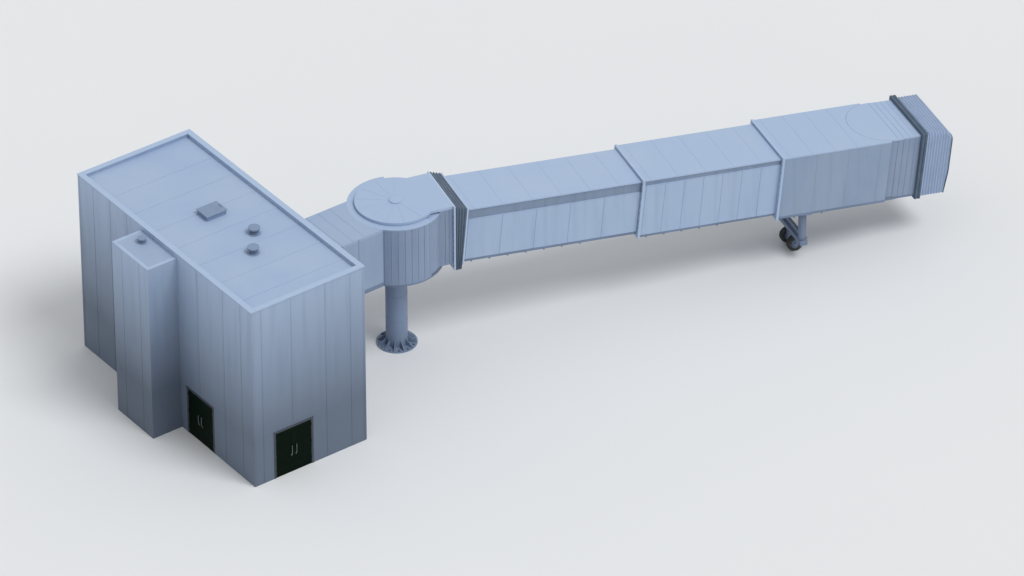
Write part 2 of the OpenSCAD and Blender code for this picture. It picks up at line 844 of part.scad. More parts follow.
module tunnel_c_floor() {
    tongue_half = 500;
    tongue_t = 180;
    tongue_back = 1200;
    tongue_ahead = 250;
    beam_half = 160;
    beam_t = 40;
    ears = [leg_y - trunnion_eye_t / 2 - pass_gap - ear_t, leg_y + trunnion_eye_t / 2 + pass_gap];
    pin_l = trunnion_eye_t + 2 * (pass_gap + ear_t);
    color(floor_grey) in_tunnel() {
        difference() {
            span([c_start, -c_half, c_low], [c_end, c_half, c_deck]);
            translate([cab_at, 0, c_low - 1]) cylinder(r = socket_r, h = deck_t + 2, $fn = 256);
        }
        // The tongue under the cab, with its pivot
        span([cab_at - socket_r - tongue_back, -tongue_half, c_low - tongue_t],
             [cab_at + tongue_ahead, tongue_half, c_low - run_gap]);
        span([cab_at - socket_r - tongue_back, -tongue_half, c_low - 2],
             [cab_at - socket_r - pass_gap, tongue_half, c_low + 1]);
        translate([cab_at, 0, c_low - 1]) cylinder(r = pivot_r, h = pivot_h);
        // The cross beam and ears that hold the drive column
        span([drive_at - beam_half, -c_half, c_low - beam_t], [drive_at + beam_half, c_half, c_low + 1]);
        both_sides() for (y = ears)
            translate([0, y + ear_t, 0]) rotate([90, 0, 0]) linear_extrude(ear_t) {
                translate([drive_at, trunnion_w]) circle(r = trunnion_r);
                translate([drive_at - trunnion_r, trunnion_w]) square([2 * trunnion_r, c_low - trunnion_w]);
            }
        both_sides() translate([drive_at, leg_y + pin_l / 2, trunnion_w]) rotate([90, 0, 0])
            cylinder(r = pin_r, h = pin_l);
    }
}

module tunnel_c_walls() {
    color(side_blue) in_tunnel() both_sides()
        span([c_start, c_half - skin_t, c_deck], [c_end, c_half, c_top - skin_t]);
}

module tunnel_c_roof() {
    color(roof_blue) in_tunnel() difference() {
        span([c_start, -c_half, c_top - skin_t], [c_end, c_half, c_top]);
        translate([cab_at, 0, c_top - skin_t - 1]) cylinder(r = socket_r, h = skin_t + 2, $fn = 256);
    }
}

module tunnel_c_collar() {
    color(frame_blue) in_tunnel()
        portal_collar(c_start, c_half, c_low, c_top, b_half, b_low, b_top);
}

// The lift tubes hang upright from the trunnions, joined by a tie
module lift_tubes() {
    low = beam_z + beam_h + 30;
    eye_r = trunnion_r - 5;
    tie_z = low + 60;
    tie_half = 60;
    tie_h = 160;
    crown_t = 30;
    color(steel_blue) difference() {
        union() {
            both_sides() {
                translate([trunnion_x, leg_y, low]) cylinder(r = leg_tube_r, h = tube_top - low);
                translate([trunnion_x, leg_y, low]) cylinder(r = leg_tube_r + flange_out, h = flange_t);
                translate([trunnion_x, leg_y + trunnion_eye_t / 2, 0]) rotate([90, 0, 0])
                    linear_extrude(trunnion_eye_t) {
                        translate([0, trunnion_z]) circle(r = eye_r);
                        translate([-eye_r, tube_top - 1]) square([2 * eye_r, trunnion_z - tube_top + 1]);
                    }
            }
            span([trunnion_x - tie_half, -leg_y, tie_z], [trunnion_x + tie_half, leg_y, tie_z + tie_h]);
        }
        both_sides() {
            translate([trunnion_x, leg_y, low - 1])
                cylinder(r = leg_r + run_gap, h = tube_top - low - crown_t);
            translate([trunnion_x, leg_y + trunnion_eye_t, trunnion_z]) rotate([90, 0, 0])
                cylinder(r = pin_r + run_gap, h = 2 * trunnion_eye_t);
        }
    }
}

module lift_crossbeam() {
    leg_top = tube_top - 50;
    beam_half = 150;
    color(steel_blue) {
        span([trunnion_x - beam_half, -leg_y - beam_over, beam_z],
             [trunnion_x + beam_half, leg_y + beam_over, beam_z + beam_h]);
        both_sides() translate([trunnion_x, leg_y, beam_z + beam_h - 1])
            cylinder(r = leg_r, h = leg_top - beam_z - beam_h + 1);
    }
}

module bogie() {
    side_gap = 20;
    yoke_half = wheel_y - wheel_w / 2 - side_gap;
    yoke_l = 130;
    turntable_r = 200;
    turntable_t = 30;
    color(steel_blue) {
        translate([trunnion_x, 0, beam_z - run_gap - turntable_t]) cylinder(r = turntable_r, h = turntable_t);
        span([trunnion_x - yoke_l, -yoke_half, wheel_r / 4 * 3],
             [trunnion_x + yoke_l, yoke_half, beam_z - run_gap - turntable_t + 10]);
        translate([trunnion_x, wheel_y + wheel_w / 2 + side_gap, wheel_r]) rotate([90, 0, 0])
            cylinder(r = axle_r, h = 2 * (wheel_y + side_gap) + wheel_w);
    }
}

// A tyre on its disc wheel, lathed about its axle
module wheel(y) {
    hub_r = axle_r + 60;
    rim_r = wheel_r * 0.57;
    shoulder = 40;
    half_profile = [[hub_r, wheel_w / 3], [hub_r + 10, wheel_w / 5], [rim_r - 4, wheel_w / 5],
                    [rim_r + 4, wheel_w / 2], [wheel_r - shoulder, wheel_w / 2],
                    [wheel_r, wheel_w / 2 - shoulder]];
    translate([trunnion_x, y, wheel_r]) rotate([90, 0, 0]) rotate_extrude($fn = 96)
        polygon(concat([[axle_r + run_gap, -wheel_w / 3]], [for (point = half_profile) [point[0], -point[1]]],
                       [for (i = [len(half_profile) - 1 : -1 : 0]) half_profile[i]],
                       [[axle_r + run_gap, wheel_w / 3]]));
}

module wheel_north() {
    color(door_black) wheel(wheel_y);
}

module wheel_south() {
    color(door_black) wheel(-wheel_y);
}

module cab_floor() {
    color(floor_grey) in_tunnel() difference() {
        union() {
            translate([cab_at, 0, c_low]) cylinder(r = cab_disc_r, h = c_deck - c_low, $fn = 256);
            span([cab_at, -cab_half, c_low], [cab_at + nose_at, cab_half, c_deck]);
        }
        translate([cab_at, 0, c_low - 1]) cylinder(r = pivot_r + run_gap, h = pivot_h + 5);
    }
}

module cab_walls() {
    sweep = 40;
    high = c_top - skin_t;
    color(side_blue) in_tunnel() translate([cab_at, 0, 0]) {
        both_sides() {
            span([0, cab_half - cab_wall_t, c_deck], [nose_at, cab_half, high]);
            arc_band(cab_half - cab_wall_t, cab_half, c_deck, high, 90, sweep);
        }
        side_ribs(rib_w, ring_at - 2 * rib_w, rib_step_cab, cab_half, c_deck + rib_in, high - rib_in);
    }
}

module cab_roof() {
    rail_half = 40;
    color(roof_blue) in_tunnel() {
        translate([cab_at, 0, c_top - skin_t]) cylinder(r = cab_disc_r, h = skin_t, $fn = 256);
        span([cab_at, -cab_half, c_top - skin_t], [cab_at + nose_at, cab_half, c_top]);
        // Rails that carry the canopy
        both_sides() span([cab_at + ring_at + ring_l, rail_y - rail_half, c_top - 1],
                          [cab_at + nose_at, rail_y + rail_half, c_top + canopy_rise - run_gap]);
    }
}

module cab_seal() {
    out = ring_out;
    u = cab_at + ring_at;
    color(dark_seal) in_tunnel()
        frame_ring(u, u + ring_l, cab_half + out, c_low - out + 40, c_top + out, cab_half, c_low, c_top);
}

module cab_bumper() {
    bumper_l = 100;
    u = cab_at + nose_at;
    color(dark_seal) in_tunnel() span([u, -cab_half + 100, c_low], [u + bumper_l, cab_half - 100, c_deck]);
}

module canopy() {
    u = cab_at + ring_at + ring_l + 20;
    front = u + canopy_l;
    chin_l = 120;
    chin_h = 900;
    half = cab_half + canopy_gap + canopy_t;
    top = c_top + canopy_rise + canopy_t;
    color(side_blue) in_tunnel() difference() {
        // Side outline with the chamfered front, drawn as wide as the canopy
        translate([0, half, 0]) rotate([90, 0, 0]) linear_extrude(2 * half)
            polygon([[u, c_low], [front - chin_l, c_low], [front, c_deck + chin_h],
                     [front, top - canopy_chamfer], [front - canopy_chamfer, top], [u, top]]);
        span([u - 1, -half + canopy_t, c_low - 1], [front + 1, half - canopy_t, top - canopy_t]);
    }
}

ground_floor();
west_wall();
south_wall();
door_lintels();
east_wall();
north_wall();
upper_floor();
block_roof();
parapet_coping();
roof_vents();
annex_walls();
annex_roof();
door_frames();
west_door_north();
west_door_south();
south_door_west();
south_door_east();
link_floor();
link_walls();
link_roof();
column();
rotunda_floor();
drum_shell();
slewing_collar();
vestibule_floor();
threshold_plate();
vestibule_portal();
vestibule_walls();
drum_curtains();
turning_roof();
tunnel_seal();
tunnel_a_floor();
tunnel_a_walls();
tunnel_a_roof();
tunnel_a_collar();
tunnel_b_floor();
tunnel_b_walls();
tunnel_b_roof();
tunnel_b_collar();
tunnel_c_floor();
tunnel_c_walls();
tunnel_c_roof();
tunnel_c_collar();
lift_tubes();
lift_crossbeam();
bogie();
wheel_north();
wheel_south();
cab_floor();
cab_walls();
cab_roof();
cab_seal();
cab_bumper();
canopy();
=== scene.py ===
from math import asin, cos, degrees, pi, radians, sin

import bpy
from mathutils import Matrix, Vector


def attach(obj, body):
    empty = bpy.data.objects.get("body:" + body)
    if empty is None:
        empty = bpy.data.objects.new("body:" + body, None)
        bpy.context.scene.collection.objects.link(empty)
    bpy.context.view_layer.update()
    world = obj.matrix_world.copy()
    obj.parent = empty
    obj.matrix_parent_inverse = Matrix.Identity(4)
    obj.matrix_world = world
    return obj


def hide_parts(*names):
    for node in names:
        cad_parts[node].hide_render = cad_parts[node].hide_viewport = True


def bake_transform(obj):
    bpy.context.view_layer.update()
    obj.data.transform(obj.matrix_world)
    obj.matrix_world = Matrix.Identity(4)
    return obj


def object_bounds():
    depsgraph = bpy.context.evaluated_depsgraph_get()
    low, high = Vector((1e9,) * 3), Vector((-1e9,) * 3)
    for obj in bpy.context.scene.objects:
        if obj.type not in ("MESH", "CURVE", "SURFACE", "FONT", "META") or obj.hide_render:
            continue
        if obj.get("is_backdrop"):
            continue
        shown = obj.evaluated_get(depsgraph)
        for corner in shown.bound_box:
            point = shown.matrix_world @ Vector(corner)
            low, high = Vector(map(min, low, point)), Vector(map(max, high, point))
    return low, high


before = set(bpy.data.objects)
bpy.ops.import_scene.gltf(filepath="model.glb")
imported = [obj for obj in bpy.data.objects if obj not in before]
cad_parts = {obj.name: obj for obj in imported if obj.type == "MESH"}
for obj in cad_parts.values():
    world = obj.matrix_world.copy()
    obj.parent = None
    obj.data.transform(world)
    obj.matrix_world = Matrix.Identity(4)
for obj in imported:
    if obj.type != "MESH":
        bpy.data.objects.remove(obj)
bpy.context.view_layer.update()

# The walls of the gate block: upright insulated sheets in light blue paint on a steel frame, jointed every
# 1.2 m under cover strips and lapped at the corners by folded trims.
block_turn = 13.5
in_block = Matrix.Rotation(radians(block_turn), 4, "Z")
west_x, east_x = -10.34, -4.94
south_y, north_y = -4.78, 7.32
wall_top = 8.36
annex_out, annex_south, annex_north, annex_top = 1.4, 0.32, 2.82, 8.16


def tone(red, green, blue):
    """A colour as a screen shows it, from 0 to 255, as the linear one a shader takes."""
    return [((part / 255 + 0.055) / 1.055) ** 2.4 for part in (red, green, blue)] + [1.0]


def new_finish(name, roughness, metallic=0.0):
    """A new material, with its node tree, its shader and the piece's own coordinates."""
    material = bpy.data.materials.new(name)
    material.use_nodes = True
    tree = material.node_tree
    shader = tree.nodes["Principled BSDF"]
    shader.inputs["Roughness"].default_value = roughness
    shader.inputs["Metallic"].default_value = metallic
    return material, tree, shader, tree.nodes.new("ShaderNodeTexCoord").outputs["Object"]


def ranged(tree, value, low, high, to_low=0.0, to_high=1.0):
    """A value moved from one range to another and held at its ends."""
    spread = tree.nodes.new("ShaderNodeMapRange")
    for name, number in (("From Min", low), ("From Max", high), ("To Min", to_low), ("To Max", to_high)):
        spread.inputs[name].default_value = number
    tree.links.new(value, spread.inputs["Value"])
    return spread.outputs["Result"]


def noise(tree, place, scale, stretch=(1, 1, 1), low=0.35, high=0.65, detail=4.0):
    """Cloudy noise from 0 to 1, with its soft edge between low and high."""
    mapping = tree.nodes.new("ShaderNodeMapping")
    mapping.inputs["Scale"].default_value = stretch
    tree.links.new(place, mapping.inputs["Vector"])
    cloud = tree.nodes.new("ShaderNodeTexNoise")
    cloud.inputs["Scale"].default_value = scale
    cloud.inputs["Detail"].default_value = detail
    tree.links.new(mapping.outputs["Vector"], cloud.inputs["Vector"])
    spread = ranged(tree, cloud.outputs["Fac"], low, high)
    spread.node.interpolation_type = "SMOOTHSTEP"
    return spread


def combined(tree, operation, first, second, kind="ShaderNodeMath"):
    """A value combined with another one, or with a plain number or direction."""
    node = tree.nodes.new(kind)
    node.operation = operation
    tree.links.new(first, node.inputs[0])
    if isinstance(second, bpy.types.NodeSocket):
        tree.links.new(second, node.inputs[1])
    else:
        node.inputs[1].default_value = second
    return node.outputs["Value"]


def scaled(tree, value, factor):
    """A value times a factor."""
    return combined(tree, "MULTIPLY", value, factor)


def mixed(tree, share, first, second):
    """Two colours, each a list or a socket, mixed by a share."""
    mix = tree.nodes.new("ShaderNodeMix")
    mix.data_type = "RGBA"
    tree.links.new(share, mix.inputs["Factor"])
    for socket, colour in ((mix.inputs[6], first), (mix.inputs[7], second)):
        if isinstance(colour, list):
            socket.default_value = colour
        else:
            tree.links.new(colour, socket)
    return mix.outputs[2]


def shaded(colour, factor):
    """A darker or lighter shade of a colour."""
    return [part * factor for part in colour[:3]] + [1.0]


def add_bump(tree, shader, height, distance, strength=0.5):
    """Relief of a real depth in metres."""
    bump = tree.nodes.new("ShaderNodeBump")
    bump.inputs["Strength"].default_value = strength
    bump.inputs["Distance"].default_value = distance
    tree.links.new(height, bump.inputs["Height"])
    tree.links.new(bump.outputs["Normal"], shader.inputs["Normal"])


def facing(tree, direction, low=0.0, high=1.0):
    """A mask of the faces that look towards a direction."""
    normal = tree.nodes["Texture Coordinate"].outputs["Normal"]
    return ranged(tree, combined(tree, "DOT_PRODUCT", normal, direction, "ShaderNodeVectorMath"), low, high)


def edge_wear(tree, width):
    """A mask along sharp edges, where paint is knocked off."""
    rounded = tree.nodes.new("ShaderNodeBevel")
    rounded.samples = 4
    rounded.inputs["Radius"].default_value = width
    flat = tree.nodes.new("ShaderNodeNewGeometry").outputs["Normal"]
    alike = combined(tree, "DOT_PRODUCT", rounded.outputs["Normal"], flat, "ShaderNodeVectorMath")
    return ranged(tree, alike, 0.999, 0.9)


def paint(name, colour, fade=0.10, streak=0.12, foot_shade=0.0, foot_shade_top=8.2, south_shade=0.0, wear=0.0,
          roughness=0.5):
    """Sprayed paint on sheet metal: faded in clouds, streaked by rain, worn at edges, with painted shade at
    its foot and on south faces.
    """
    material, tree, shader, place = new_finish(name, roughness)
    rain_dirt, painted_shade = shaded(colour, 0.45), shaded(colour, 0.25)
    clouds = noise(tree, place, 0.45, low=0.3, high=0.7)
    base = mixed(tree, scaled(tree, clouds, fade), colour, tone(200, 208, 214))
    rain = noise(tree, place, 3.2, stretch=(1, 1, 0.07), low=0.42, high=0.75)
    base = mixed(tree, scaled(tree, rain, streak), base, rain_dirt)
    # Painted shade: the colour darkens towards the foot, from the given height down.
    if foot_shade:
        height = tree.nodes.new("ShaderNodeSeparateXYZ")
        tree.links.new(place, height.inputs["Vector"])
        falling = ranged(tree, height.outputs["Z"], foot_shade_top, foot_shade_top * 0.27)
        base = mixed(tree, scaled(tree, falling, foot_shade), base, painted_shade)
    # Painted shade on the faces that look south.
    if south_shade:
        south_facing = facing(tree, in_block @ Vector((0, -1, 0)))
        base = mixed(tree, scaled(tree, south_facing, south_shade), base, painted_shade)
    if wear:
        chips = noise(tree, place, 14.0, low=0.45, high=0.6)
        worn = scaled(tree, edge_wear(tree, 0.015), chips)
        base = mixed(tree, scaled(tree, worn, wear), base, tone(112, 104, 96))
    tree.links.new(base, shader.inputs["Base Color"])
    dullness = ranged(tree, clouds, 0.0, 1.0, roughness - 0.08, roughness + 0.12)
    tree.links.new(dullness, shader.inputs["Roughness"])
    add_bump(tree, shader, noise(tree, place, 60.0, detail=2.0), 0.0006)
    return material


def dress(material, *names):
    """Gives CAD nodes a material in place of their plain colour."""
    for name in names:
        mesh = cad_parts[name].data
        mesh.materials.clear()
        mesh.materials.append(material)


def use_only(piece):
    """Selects one piece and nothing else."""
    bpy.ops.object.select_all(action="DESELECT")
    piece.select_set(True)
    bpy.context.view_layer.objects.active = piece


def settled(piece):
    """A piece with its place, turn and size put in its mesh."""
    use_only(piece)
    bpy.ops.object.transform_apply(location=True, rotation=True, scale=True)
    return piece


def bar(low, high):
    """A square bar between two opposite corners, as a start for a piece."""
    bpy.ops.object.select_all(action="DESELECT")
    centre = [(a + b) / 2 for a, b in zip(low, high)]
    bpy.ops.mesh.primitive_cube_add(size=1, location=centre, scale=[b - a for a, b in zip(low, high)])
    return settled(bpy.context.active_object)


def apply(piece, kind, **settings):
    """Adds a modifier with its settings and applies it."""
    use_only(piece)
    modifier = piece.modifiers.new(kind.lower(), kind)
    for key, value in settings.items():
        setattr(modifier, key, value)
    bpy.ops.object.modifier_apply(modifier=modifier.name)
    return piece


def row(piece, count, step):
    """A piece repeated in a row, each copy a step further."""
    return apply(piece, "ARRAY", count=count, use_relative_offset=False, use_constant_offset=True,
                 constant_offset_displace=step)


def eased(piece, width, segments=2):
    """A piece with its edges rounded."""
    return apply(piece, "BEVEL", width=width, segments=segments, limit_method="ANGLE")


def joined(pieces):
    """Several pieces made one."""
    bpy.ops.object.select_all(action="DESELECT")
    for piece in pieces:
        piece.select_set(True)
    bpy.context.view_layer.objects.active = pieces[0]
    bpy.ops.object.join()
    return bpy.context.active_object


def moved(piece, where):
    """A piece carried or turned to another place, with the place in its mesh."""
    piece.matrix_world = where
    return settled(piece)


def place(piece, name, body, material, where=Matrix.Identity(4), slot=None):
    """Names a finished piece, puts it in its place and lets it ride on its body."""
    moved(piece, where)
    piece.name = name
    piece.data.materials.clear()
    piece.data.materials.append(material)
    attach(piece, body)
    return piece


# The walls darken towards their foot and on their south faces: painted shade.
wall_paint = paint("wall_paint", tone(162, 183, 213), streak=0.20, foot_shade=0.91, south_shade=0.24, roughness=0.55)
dress(wall_paint, "west_wall", "south_wall", "door_lintels", "east_wall", "north_wall")
strip_w, strip_t, strip_foot, strip_head = 0.05, 0.008, 0.02, wall_top - 0.03
joint_step, corner_leg = 1.2, 0.096


def strips(start, end, face, out, across, low=strip_foot, high=strip_head):
    """Cover strips over the joints of one wall face, from one corner to the other."""
    count = max(1, int((end - start) / joint_step))
    at = start + ((end - start) - (count - 1) * joint_step) / 2
    near, far = sorted((face, face + out))
    if across == "y":
        strip = bar((near, at - strip_w / 2, low), (far, at + strip_w / 2, high))
        return row(strip, count, (0, joint_step, 0))
    strip = bar((at - strip_w / 2, near, low), (at + strip_w / 2, far, high))
    return row(strip, count, (joint_step, 0, 0))


over_door, under_floor, over_link, over_walkway = 2.27, 3.90, 6.92, 6.66
west_door_y, south_door_x, door_half, link_half = -1.03, -8.46, 0.95, 1.25
door_north, door_south = west_door_y + door_half, west_door_y - door_half
door_east, door_west = south_door_x + door_half, south_door_x - door_half
walkway_west, walkway_east = -9.60, -7.45
block_strips = [
    strips(south_y, door_south, west_x, -strip_t, "y"),
    strips(door_south, door_north, west_x, -strip_t, "y", low=over_door),
    strips(annex_north, north_y, west_x, -strip_t, "y"),
    strips(west_x, door_west, south_y, -strip_t, "x"),
    strips(door_west, door_east, south_y, -strip_t, "x", low=over_door),
    strips(door_east, east_x, south_y, -strip_t, "x"),
    strips(south_y, -link_half, east_x, strip_t, "y"),
    strips(-link_half, link_half, east_x, strip_t, "y", high=under_floor),
    strips(-link_half, link_half, east_x, strip_t, "y", low=over_link),
    strips(link_half, north_y, east_x, strip_t, "y"),
    strips(walkway_west, walkway_east, north_y, strip_t, "x", high=under_floor),
    strips(walkway_west, walkway_east, north_y, strip_t, "x", low=over_walkway),
    strips(walkway_east, east_x, north_y, strip_t, "x"),
]
for corner_x, out_x in ((west_x, -1), (east_x, 1)):
    for corner_y, out_y in ((south_y, -1), (north_y, 1)):
        x_low, x_high = sorted((corner_x + out_x * strip_t, corner_x - out_x * corner_leg))
        y_low, y_high = sorted((corner_y + out_y * strip_t, corner_y - out_y * corner_leg))
        block_strips.append(bar((x_low, y_low, strip_foot), (x_high, y_high, strip_head)))
# The strips carry the same painted shade towards their foot and on their south faces.
strip_paint = paint("strip_paint", tone(155, 175, 205), foot_shade=0.90, south_shade=0.24)
place(eased(joined(block_strips), 0.002, 1), "wall_cover_strips", "gate", strip_paint, in_block)

# The two upper doorways, to the link and to the walkway: folded steel trims round the opening in the wall,
# and a ribbed threshold strip screwed to the floor.
trim_paint = paint("trim_paint", tone(120, 138, 164), fade=0.06, wear=0.4, roughness=0.42)
upper_floor_z, upper_head_z = 4.25, 6.55
wall_t, trim_w, trim_t = 0.20, 0.07, 0.010
walkway_x, walkway_half, link_mouth = -8.54, 1.00, 1.17


def both_sides(piece):
    """A piece with its mirror image across the middle plane."""
    return apply(piece, "MIRROR", use_axis=(False, True, False))


def surround(half):
    """A trim round three sides of an opening, on a wall's face at X = 0."""
    jambs = both_sides(bar((-0.002, half, upper_floor_z), (trim_t, half + trim_w, upper_head_z + trim_w)))
    head = bar((-0.002, -half, upper_head_z), (trim_t, half, upper_head_z + trim_w))
    return eased(joined([jambs, head]), 0.003, 1)


for trim_name, half, face_x, face_y, turn in (
    ("walkway_trim_outside", walkway_half, walkway_x, north_y, 90),
    ("walkway_trim_inside", walkway_half, walkway_x, north_y - wall_t, -90),
    ("link_trim_inside", link_mouth, east_x - wall_t, 0.0, 180),
):
    face = in_block @ Matrix.Translation((face_x, face_y, 0)) @ Matrix.Rotation(radians(turn), 4, "Z")
    place(surround(half), trim_name, "gate", trim_paint, face)
threshold = bar((walkway_x - walkway_half, north_y - wall_t, upper_floor_z - 0.001),
                (walkway_x + walkway_half, north_y - wall_t + 0.012, upper_floor_z + 0.006))
place(eased(row(threshold, 8, (0, 0.026, 0)), 0.002, 1), "walkway_threshold", "gate", trim_paint, in_block)

# The block's roof: a welded membrane on a slab, in sheets 1.5 m wide whose laps stand up a little, with a
# folded metal coping on the walls in lengths of 3 m.
roof_z = 8.21
lap_w, lap_t, lap_step, lap_start, lap_in = 0.10, 0.012, 1.5, south_y + 1.1, wall_t + 0.01
membrane = paint("roof_membrane", tone(154, 175, 205), fade=0.16, streak=0.0, roughness=0.75)
dress(membrane, "block_roof")
lap = bar((west_x + lap_in, lap_start, roof_z), (east_x - lap_in, lap_start + lap_w, roof_z + lap_t))
laps = eased(row(lap, 7, (0, lap_step, 0)), 0.004, 1)
place(laps, "roof_membrane_laps", "gate", membrane, in_block)

coping_paint = paint("coping_paint", tone(162, 183, 212), fade=0.05, streak=0.04, wear=0.4, roughness=0.42)
dress(coping_paint, "parapet_coping")
coping_top, coping_l, coping_lip, saddle_w = wall_top + 0.04, 3.0, 0.028, 0.06
saddles = []
for wall_x in (west_x, east_x - wall_t):
    saddle = bar((wall_x - coping_lip, south_y + coping_l, coping_top - 0.002),
                 (wall_x + wall_t + coping_lip, south_y + coping_l + saddle_w, coping_top + 0.006))
    saddles.append(row(saddle, 3, (0, coping_l, 0)))
place(eased(joined(saddles), 0.002, 1), "coping_saddles", "gate", coping_paint, in_block)

# Roof items: a hatch with a lapped lid and lifting handle, and round spun cowls with a louvred neck.
vent_paint = paint("vent_paint", tone(118, 138, 168), fade=0.08, wear=0.5)
dress(vent_paint, "roof_vents")
hatch_x, hatch_y, lid_x, lid_y, lid_t = west_x + 2.83, 2.0, 0.49, 0.39, 0.045
lid_top, grip_x, grip_t, grip_half = roof_z + 0.23, hatch_x + 0.40, 0.02, 0.10
lid = bar((hatch_x - lid_x, hatch_y - lid_y, lid_top - lid_t), (hatch_x + lid_x, hatch_y + lid_y, lid_top))
handle = [bar((grip_x, hatch_y - grip_half, lid_top + 0.03),
              (grip_x + grip_t, hatch_y + grip_half, lid_top + 0.045))]
for foot_y in (hatch_y - grip_half, hatch_y + grip_half - grip_t):
    handle.append(bar((grip_x, foot_y, lid_top - 0.005), (grip_x + grip_t, foot_y + grip_t, lid_top + 0.032)))
place(joined([eased(lid, 0.01), *handle]), "roof_hatch_lid", "gate", vent_paint, in_block)


def lathe(radius, low, high, x=0.0, y=0.0, sides=32):
    """A round disc or drum about an upright axis, as a start for a piece."""
    bpy.ops.object.select_all(action="DESELECT")
    bpy.ops.mesh.primitive_cylinder_add(vertices=sides, radius=radius, depth=high - low,
                                        location=(x, y, (low + high) / 2))
    return settled(bpy.context.active_object)


def smooth(piece, angle=40):
    """Smooth shading, with edges sharper than the angle left crisp."""
    use_only(piece)
    bpy.ops.object.shade_smooth_by_angle(angle=radians(angle))
    return piece


cowl_rings = []
for cowl_x, cowl_y, pipe_r, foot, height in (
    (east_x - 1.99, -0.1, 0.16, roof_z, 0.22),
    (west_x + 2.6, -1.2, 0.16, roof_z, 0.22),
    (west_x - annex_out / 3, annex_south + 1.75, 0.12, annex_top, 0.16),
):
    collar = eased(lathe(pipe_r * 1.7, foot, foot + 0.02, cowl_x, cowl_y), 0.006)
    louvre = row(lathe(pipe_r * 1.18, foot + 0.05, foot + 0.062, cowl_x, cowl_y), 4, (0, 0, 0.03))
    cap = eased(lathe(pipe_r * 1.53, foot + height + 0.01, foot + height + 0.059, cowl_x, cowl_y), 0.018, 3)
    cowl_rings += [collar, louvre, cap]
place(smooth(joined(cowl_rings)), "roof_cowl_rings", "gate", vent_paint, in_block)

# The annex: a narrow shaft on the block's west face in the same sheets, with painted shade darkening its
# foot, a roof membrane painted darker than the block's as painted shade, and a slim rim round it.
annex_paint = paint("annex_paint", tone(161, 182, 212), streak=0.20, foot_shade=1.0, south_shade=0.24,
                    roughness=0.55)
dress(annex_paint, "annex_walls")
# The annex roof membrane is painted darker than the block's roof: painted shade.
dress(paint("annex_membrane", tone(142, 163, 193), fade=0.16, streak=0.0, roughness=0.75), "annex_roof")
annex_west, joint_top = west_x - annex_out, annex_top - 0.04
annex_joints = [strips(annex_south, annex_north, annex_west, -strip_t, "y", high=joint_top)]
for face, out in ((annex_south, -strip_t), (annex_north, strip_t)):
    annex_joints.append(strips(annex_west, west_x, face, out, "x", high=joint_top))
place(eased(joined(annex_joints), 0.002, 1), "annex_cover_strips", "gate", annex_paint, in_block)

# The two double doors at the ground: flush steel leaves in black paint, with a raised border and kick plate,
# a pull handle and a lock rose on each, in pressed steel frames.
door_paint = paint("door_paint", tone(5, 19, 11), fade=0.0, streak=0.10, wear=0.2, roughness=0.5)
door_paint.node_tree.nodes["Principled BSDF"].inputs["Specular IOR Level"].default_value = 0.035
dress(door_paint, "west_door_north", "west_door_south", "south_door_west", "south_door_east")
frame_paint = paint("door_frame_paint", tone(44, 55, 66), fade=0.04, wear=0.5)
dress(frame_paint, "door_frames")
steel, steel_tree, steel_shader, steel_place = new_finish("brushed_steel", 0.32, metallic=0.9)
brushed = noise(steel_tree, steel_place, 90.0, stretch=(1, 1, 0.05))
marks = scaled(steel_tree, brushed, 0.35)
steel_tree.links.new(mixed(steel_tree, marks, tone(140, 145, 150), tone(84, 88, 92)),
                     steel_shader.inputs["Base Color"])
add_bump(steel_tree, steel_shader, brushed, 0.0003)
leaf_w, door_head, trim_edge, head_t = 0.85, 2.15, 0.871, 0.012
at_west_door = in_block @ Matrix.Translation((west_x, west_door_y, 0))
at_south_door = in_block @ Matrix.Translation((south_door_x, south_y, 0)) @ Matrix.Rotation(pi / 2, 4, "Z")


def leaf_border():
    """A raised border, middle rail and kick plate on a leaf's outer face."""
    proud, into, edge, rail, rail_foot, head = 0.006, 0.001, 0.02, 0.07, 0.29, 2.12
    y_low, y_high = edge, leaf_w - edge
    parts = [bar((-proud, y, rail_foot + 0.02), (into, y + rail, head)) for y in (y_low, y_high - rail)]
    for z in (rail_foot, 1.15, head - rail):
        parts.append(bar((-proud + 0.001, y_low, z), (into, y_high, z + rail)))
    parts.append(bar((-proud / 2, y_low + 0.01, 0.04), (into, y_high - 0.01, rail_foot - 0.02)))
    return eased(joined(parts), 0.002, 1)


def leaf_fittings():
    """Pull handle on two stand-offs, and lock rose."""
    grip = lathe(0.012, 0.90, 1.30, -0.05, 0.11, 16)
    studs = []
    for z in (0.95, 1.25):
        studs.append(bar((-0.05, 0.103, z - 0.007), (0.001, 0.117, z + 0.007)))
    rose = eased(bar((-0.008, 0.085, 0.80), (0.001, 0.135, 0.86)), 0.003, 1)
    return joined([grip, rose] + studs)


def edited(piece, **steps):
    """A piece worked on in edit mode, each step on the whole of it."""
    use_only(piece)
    bpy.ops.object.mode_set(mode="EDIT")
    for operator, settings in steps.items():
        bpy.ops.mesh.select_all(action="SELECT")
        getattr(bpy.ops.mesh, operator)(**settings)
    bpy.ops.object.mode_set(mode="OBJECT")
    return piece


for leaf_name, where, flipped in (
    ("west_leaf_north", at_west_door, False),
    ("west_leaf_south", at_west_door, True),
    ("south_leaf_west", at_south_door, False),
    ("south_leaf_east", at_south_door, True),
):
    for part, make, material in (("border", leaf_border, door_paint), ("fittings", leaf_fittings, steel)):
        piece = make()
        if flipped:
            piece.scale = (1, -1, 1)
            edited(settled(piece), normals_make_consistent={"inside": False})
        place(piece, f"{leaf_name}_{part}", leaf_name, material, where)

